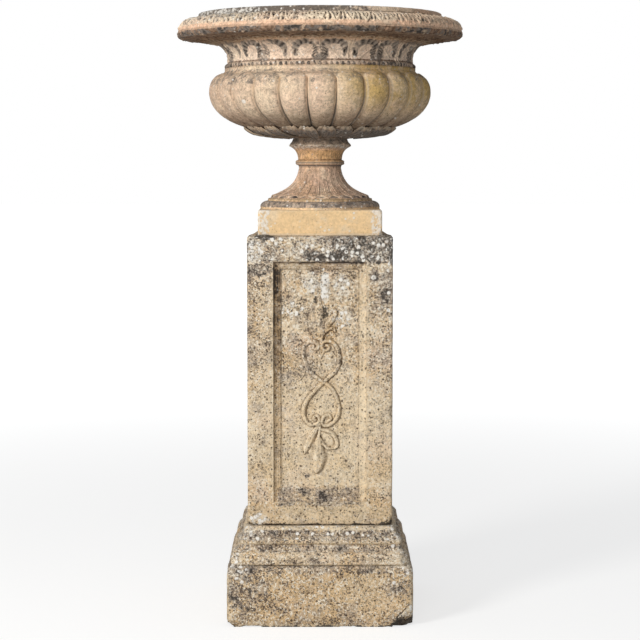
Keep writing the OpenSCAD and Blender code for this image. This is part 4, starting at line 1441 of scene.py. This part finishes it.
def shaftShade(p):
    # painted black shadow in the open joint under the shaft's ragged foot, painted shade at its broken corner
    # and under the plinth's left end, and painted shade in deep pockets of the scroll
    foot = (p.z - 0.022 * (p.cloud(15, 4, 0.7, 3.5) - 0.5)).above(0.2200, 0.2180) * 0.7
    shade = spots(p, (((153, -156, 219), (22, 24, 9), 0.25), ((-120, None, 850), (20, None, 7), 0.34)), 0.5)
    middle = spots(p, (((12, None, 697), (8, None, 12), 0.17), ((11, None, 678), (8, None, 9), 0.17),
                       ((-9, None, 712), (6, None, 9), 0.17), ((19, None, 771), (15, None, 6), 0.17),
                       ((4, None, 657), (6, None, 8), 0.17)), 0.9)
    return foot + shade + middle


def shaftLight(p):
    # a clean pale lower field, and a painted highlight on the moulding's right slope, which faces the light
    panel = 0.25 * p.x.unsigned().above(0.088, 0.078)
    field = p.z.above(0.60, 0.46) * (0.55 + panel) * (1 - 0.7 * band(p.z, 262, 298, 8))
    slope = p.x.above(0.080, 0.086) * p.x.above(0.104, 0.100) * p.z.above(0.78, 0.74) * 0.5
    return field + slope


def shaftWarm(p):
    groove = p.x.above(-0.0845, -0.087) * p.x.above(-0.103, -0.1005) * p.z.above(0.80, 0.70)
    return 0.3 + 0.3 * p.z.above(0.5, 0.3) + 0.9 * p.z.above(0.272, 0.252) + 1.2 * groove


clayColours = {
    "buff": (0.78, 0.615, 0.435), "pink": (0.76, 0.555, 0.40), "ochre": (0.86, 0.61, 0.335),
    "olive": (0.54, 0.35, 0.09), "tawny": (0.63, 0.435, 0.31), "rust": (0.70, 0.45, 0.27),
    "cream": (0.84, 0.70, 0.515), "grey": (0.24, 0.205, 0.175), "brown": (0.105, 0.055, 0.028),
    "black": (0.040, 0.034, 0.030), "ash": (0.47, 0.38, 0.30), "terra": (0.84, 0.53, 0.35),
    "honey": (0.62, 0.37, 0.17), "lime": (0.90, 0.86, 0.79), "rose": (0.80, 0.605, 0.455),
    "blush": (0.92, 0.735, 0.575),
}


def clay(name, body, second, grime, lime, soil, tints=(), soot=0.5, speckle=0.5, streaks=0.0):
    # weathered unglazed clay; grime, lime and soil say where each gathers, 0 to 1, and on some pieces where
    # painted shade lies under overhangs; tints are colours' names with their places; a mark below 0 is a pale
    # edge, worn on some pieces and a painted highlight on the belly and the rim's underside
    c = clayColours
    p = Paint(name)
    fineHollow = p.hollow("fineHollow")
    wideHollow = p.hollow("wideHollow")
    mark = p.hollow("mark")
    dark, pale, brown = grime(p), lime(p), soil(p)
    colour = p.blend(c[body], c[second], p.cloud(95, 4, 0.6, 1.3).above(0.36, 0.66))
    colour = p.blend(colour, c["cream"], p.cloud(42, 5, 0.65, 7.9).above(0.50, 0.70) * 0.5)
    for tint, place in tints:
        colour = p.blend(colour, c[tint], place(p) * (0.3 + 0.6 * p.cloud(40, 5, 0.7, 2.9).above(0.30, 0.60)))
    grain = p.cloud(6, 4, 0.75, 1.1)
    sand = p.cloud(3.2, 2, 0.6, 2.3)
    blotch = p.cloud(19, 3, 0.6, 6.1).above(0.32, 0.68)
    fleck = 0.74 * grain.above(0.33, 0.67) + 0.30 * sand.above(0.3, 0.7) + 0.26 * blotch
    tone = 1 - 0.66 * speckle + speckle * fleck
    if streaks:
        lines = p.cloud(4.5, 3, 0.75, 5.5, (1, 1, 0.16)) - 0.5
        tone = tone + streaks * lines
    colour = p.blend(colour, p.node("CombineColor", None, {0: tone, 1: tone, 2: tone}), 1.0, "MULTIPLY")
    bloom = p.cloud(30, 6, 0.72, 5.2).above(0.48, 0.66)
    colour = p.blend(colour, c["grey"], bloom * (0.12 + 0.55 * dark))
    # dirt and painted shade in the hollows, with the piece's soil
    dirtAndShadeMask = (fineHollow.above(0.05, 0.45) * 0.9 + wideHollow.above(0.6, 2.6) * 0.8 + brown).orLess(1)
    uneven = 0.66 + 0.34 * p.cloud(12, 4, 0.7, 3.3).above(0.35, 0.6)
    colour = p.blend(colour, c["brown"], dirtAndShadeMask * uneven * 0.95)
    worn = (fineHollow * -1).above(0.08, 0.5)
    colour = p.blend(colour, c["cream"], (worn * 0.65 * (1 - 0.6 * dark - 0.7 * brown)).orMore(0))
    # soot and lichen in specks; in the marked hollows of the carving, soot with painted shade
    ragged = p.cloud(13, 7, 0.74, 8.8) + 0.36 * (dark - 0.5) - 0.06 * worn
    colour = p.blend(colour, c["grey"], ragged.above(0.52, 0.61) * 0.75)
    colour = p.blend(colour, c["black"], ragged.above(0.60, 0.65) * soot)
    # a mark below 0 is pale: worn edges, and painted highlights on the belly and the rim's underside
    colour = p.blend(colour, c["cream"], (mark * -1).orMore(0).orLess(1) * 0.75)
    sooty = (mark.orMore(0) * (0.55 + 0.9 * grain)).orLess(1)
    colour = p.blend(colour, c["grey"], sooty.above(0.0, 0.45) * 0.8)
    colour = p.blend(colour, c["black"], sooty.above(0.42, 0.95) * 0.88)
    distance, chance = p.specks(9, 6.1)
    crust = (chance + pale - 0.985).above(0.0, 0.2) * (distance + 0.5 * grain - 0.25).above(0.34, 0.18)
    flour = (p.cloud(9, 5, 0.74, 9.9) + 0.5 * (pale - 0.5)).above(0.58, 0.66)
    whiteMask = (crust + flour * 0.85).orLess(1)
    colour = p.blend(colour, c["lime"], whiteMask * (0.42 + 0.8 * grain).orLess(1))
    prick, often = p.specks(4.6, 3.7)
    prickMask = (often - 0.78).above(0.0, 0.1) * prick.above(0.28, 0.15)
    colour = p.blend(colour, c["brown"], prickMask * speckle)
    rough = 0.88 + 0.06 * grain
    relief = 0.5 * grain + 0.35 * sand - 0.9 * prickMask + 0.4 * whiteMask
    lumps = p.cloud(8, 4, 0.6, 3.9)
    return p.finish(colour, rough, ((lumps, 1.1), (relief, 0.9)))


def plinthGrime(p):
    return 0.06 + 0.30 * towardsCorners(p, 108, 128)


def plinthLime(p):
    return (0.18 + 0.60 * towardsCorners(p, 100, 116) + 0.22 * p.z.above(0.898, 0.906)).orLess(1)


def plinthSoil(p):
    return 0.4 * p.z.above(0.857, 0.851)


def stemGrimeAndShade(p):
    # grime on the torus and the collar; the collar's top under the bowl is darkened further as painted shade
    torus = band(p.z, 912, 922, 2) * 1.35
    collar = p.z.above(1.038, 1.044)
    return 0.16 + 0.42 * torus + 0.30 * collar + 0.20 * p.z.above(1.051, 1.058)


def stemLime(p):
    lip = p.z.above(1.036, 1.041) * p.z.above(1.049, 1.045)
    return 0.16 + 0.5 * lip + 0.30 * band(p.z, 910, 930, 2)


def stemOchre(p):
    # the fillets under and over the torus
    return (band(p.z, 906, 910.5, 0.8) + band(p.z, 924, 929, 0.8)).orLess(1)


def stemHoney(p):
    return band(p.z, 1010, 1034, 3)


def stemAsh(p):
    return (band(p.z, 911, 923, 2) + p.z.above(1.037, 1.043)).orLess(1)


def stemSoilAndShade(p):
    # soil on the ring, the fillet and the right side; at the top under the bowl, painted shade
    ring = band(p.z, 999, 1012, 3)
    fillet = band(p.z, 926, 929, 1)
    under = p.z.above(1.052, 1.061)
    right = p.x.above(0.0, 0.06) * p.z.above(1.04, 1.0)
    return (0.30 * ring + 0.5 * fillet + 0.4 * under + 0.26 * right).orLess(1)


def bellyGrime(p):
    return 0.14 + 0.38 * band(p.z, 1182, 1206, 12) + 0.10 * p.x.above(-0.02, -0.1)


def bellyLime(p):
    spot = p.patch((-166, -183, 1138), (8, 9, 6), 0.3) * 1.1
    return 0.13 + 0.10 * p.z.above(1.15, 1.19) + spot


def bellySoilAndShade(p):
    # painted shade browns the lobes' low ends, which face down; soil lies in a band near the shoulder
    return 0.85 * p.z.above(1.126, 1.088) + 0.22 * band(p.z, 1196, 1200, 3)


def bellyOlive(p):
    return p.x.above(-0.01, 0.12) * p.z.above(1.09, 1.16) * 0.9


def bellySalmon(p):
    return p.x.above(-0.13, -0.22) * 0.7


def neckGrime(p):
    rightward = 0.22 * p.x.above(0.05, 0.18)
    beadGround = 0.4 * band(p.z, 1214, 1225.5, 1.5)
    return 0.06 + rightward + beadGround - 0.30 * p.z.above(1.268, 1.274)


def neckLime(p):
    return 0.04 + 0.2 * p.z.above(1.272, 1.262)


def neckRust(p):
    return p.z.above(1.262, 1.272)


def neckSoilAndShade(p):
    # brown soil and painted shade on the upper neck and the soffit under the rim, reaching lower at the
    # sides; soil on the ground of the beads
    atSides = p.x.unsigned().above(0.12, 0.19)
    beadGround = band(p.z, 1214, 1225.5, 1.5)
    return 1.2 * p.z.above(1.2690, 1.2775) + 0.6 * atSides * p.z.above(1.261, 1.268) + 0.3 * beadGround


def beadGrime(p):
    # the same all over
    return 1.0


def beadSoil(p):
    return 0.45


def rimGrime(p):
    top = p.z.above(1.302, 1.318) * (0.2 + 0.6 * p.x.above(0.14, -0.02))
    farLeft = p.x.above(-0.06, -0.20) * p.z.above(1.294, 1.304)
    lip = p.z.above(1.321, 1.328) * p.x.above(0.20, 0.05)
    return 0.18 + 0.40 * top + 0.22 * farLeft + 0.5 * lip + 0.1 * p.z.above(1.2925, 1.289)


def rimLime(p):
    farLeft = p.x.above(-0.04, -0.18) * p.z.above(1.294, 1.304)
    return 0.12 + 0.24 * p.z.above(1.308, 1.326) + 0.38 * farLeft


def rimTawny(p):
    return (0.7 * p.x.above(0.10, 0.22) + p.z.above(1.307, 1.301)).orLess(1)


def rimSoilAndShade(p):
    # soil on the top towards the right; under the rim's edge, brown soil and painted shade
    rightward = p.x.above(0.08, 0.2) * p.z.above(1.300, 1.31)
    edge = p.z.above(1.2985, 1.2945)
    under = p.z.above(1.2925, 1.2895)
    return (0.30 * rightward + 0.5 * edge + 1.2 * under).orLess(1.2)


def calyxGrime(p):
    return 0.74 + 0.12 * p.x.above(-0.02, 0.08)


def calyxSoilAndShade(p):
    # brown soil and painted shade over the calyx under the bowl, most at its lower part
    return 0.88 + 0.12 * p.z.above(1.076, 1.070)


# The setting

stageColour = (0.46, 0.46, 0.455)
floorGlow = {"near": 0.66, "far": 0.95, "start": 0.9, "end": 5.0}
roomLight = 0.32
lampAim = (0, 0, 0.75)
lamps = {
    "keyLamp": {"place": (-2.9, -3.2, 2.35), "size": 1.3, "power": 116, "tint": (1.0, 0.98, 0.95)},
    "frontLamp": {"place": (-0.6, -4.6, 1.45), "size": 2.4, "power": 50, "tint": (1.0, 0.99, 0.97)},
}
cameraSizes = {"lens": 101.25, "distance": 4.05, "height": 1.036, "down": 5.395}


def plainBackground():
    # camera rays see plain white round the object; other light sees a pale room
    world = bpy.data.worlds.new("paleRoom")
    bpy.context.scene.world = world
    world.use_nodes = True
    tree = world.node_tree
    tree.nodes.clear()
    output = tree.nodes.new("ShaderNodeOutputWorld")
    mix = tree.nodes.new("ShaderNodeMixShader")
    room = tree.nodes.new("ShaderNodeBackground")
    seen = tree.nodes.new("ShaderNodeBackground")
    path = tree.nodes.new("ShaderNodeLightPath")
    room.inputs["Color"].default_value = (0.95, 0.97, 1.0, 1)
    room.inputs["Strength"].default_value = roomLight
    seen.inputs["Color"].default_value = (1, 1, 1, 1)
    seen.inputs["Strength"].default_value = 1.0
    tree.links.new(path.outputs["Is Camera Ray"], mix.inputs[0])
    tree.links.new(room.outputs[0], mix.inputs[1])
    tree.links.new(seen.outputs[0], mix.inputs[2])
    tree.links.new(mix.outputs[0], output.inputs[0])


def layFloor():
    deselectAll()
    ops.mesh.primitive_plane_add(size=60, location=(0, 0, 0))
    floor = bpy.context.object
    floor.name = "paleFloor"
    paint = Paint("paleFloor")
    paint.shader.inputs["Base Color"].default_value = (*stageColour, 1)
    paint.shader.inputs["Roughness"].default_value = 0.9
    g = floorGlow
    away = (paint.x ** 2 + paint.y ** 2) ** 0.5
    glow = g["near"] + (g["far"] - g["near"]) * away.above(g["start"], g["end"])
    kinds = ("Camera", "Glossy", "Transmission")
    rays = [paint.node("LightPath", output="Is " + kind + " Ray") for kind in kinds]
    seen = (rays[0] + rays[1] + rays[2]).orLess(1) * glow
    shown = paint.node("CombineColor", None, {0: seen, 1: seen, 2: seen})
    paint.tree.links.new(shown.socket, paint.shader.inputs["Emission Color"])
    paint.shader.inputs["Emission Strength"].default_value = 1.0
    floor.data.materials.append(paint.material)


def addLamp(name):
    s = lamps[name]
    lamp = bpy.data.lights.new(name, "AREA")
    lamp.shape = "DISK"
    lamp.size = s["size"]
    lamp.energy = s["power"]
    lamp.color = s["tint"]
    holder = bpy.data.objects.new(name, lamp)
    holder.location = s["place"]
    holder.rotation_euler = (Vector(lampAim) - Vector(s["place"])).to_track_quat("-Z", "Y").to_euler()
    bpy.context.scene.collection.objects.link(holder)


def setCamera():
    s = cameraSizes
    lens = bpy.data.cameras.new("view")
    lens.lens = s["lens"]
    lens.sensor_width = 36
    camera = bpy.data.objects.new("view", lens)
    camera.location = (0, -s["distance"], s["height"])
    camera.rotation_euler = (math.radians(90 - s["down"]), 0, 0)
    bpy.context.scene.collection.objects.link(camera)
    bpy.context.scene.camera = camera


plainBackground()
layFloor()
for name in lamps:
    addLamp(name)
setCamera()
bpy.context.scene.view_settings.view_transform = "Standard"
print("setting made")

baseStone = stone("baseStone", {"grime": baseGrime, "bloom": baseBloomAndHighlight, "soil": baseSoil, "warm": baseWarm,
                                "joint": baseShade, "light": baseLight}, 1.25)
shaftStone = stone("shaftStone", {"grime": shaftGrimeAndShade, "bloom": shaftBloom, "soil": shaftSoil,
                                  "warm": shaftWarm, "joint": shaftShade, "light": shaftLight}, 1.12)
plinthClay = clay("plinthClay", "ochre", "ochre", plinthGrime, plinthLime, plinthSoil, (), 0.4, 0.25)
stemClay = clay("stemClay", "tawny", "rust", stemGrimeAndShade, stemLime, stemSoilAndShade,
                (("ochre", stemOchre), ("honey", stemHoney), ("ash", stemAsh)), 0.5, 0.8, 1.9)
bellyClay = clay("bellyClay", "buff", "pink", bellyGrime, bellyLime, bellySoilAndShade,
                 (("olive", bellyOlive), ("tawny", bellySalmon)), 0.3, 0.66)
neckClay = clay("neckClay", "blush", "rose", neckGrime, neckLime, neckSoilAndShade, (("rust", neckRust),), 0.6, 0.7)
beadClay = clay("beadClay", "ash", "tawny", beadGrime, neckLime, beadSoil, (), 0.75, 0.7)
rimClay = clay("rimClay", "cream", "rose", rimGrime, rimLime, rimSoilAndShade, (("terra", rimTawny),), 0.6, 0.8)
calyxClay = clay("calyxClay", "tawny", "rust", calyxGrime, neckLime, calyxSoilAndShade, (), 0.7, 0.8)
print("materials mixed")

makeBase(baseStone)
makeShaft(shaftStone)
makePanels(shaftStone)
makePlinth(plinthClay)
makeStem(stemClay)
makeBelly(bellyClay)
makeCalyx(calyxClay)
makeNeck(neckClay)
makeBeads(beadClay)
makeRim(rimClay)
print("courses dressed")
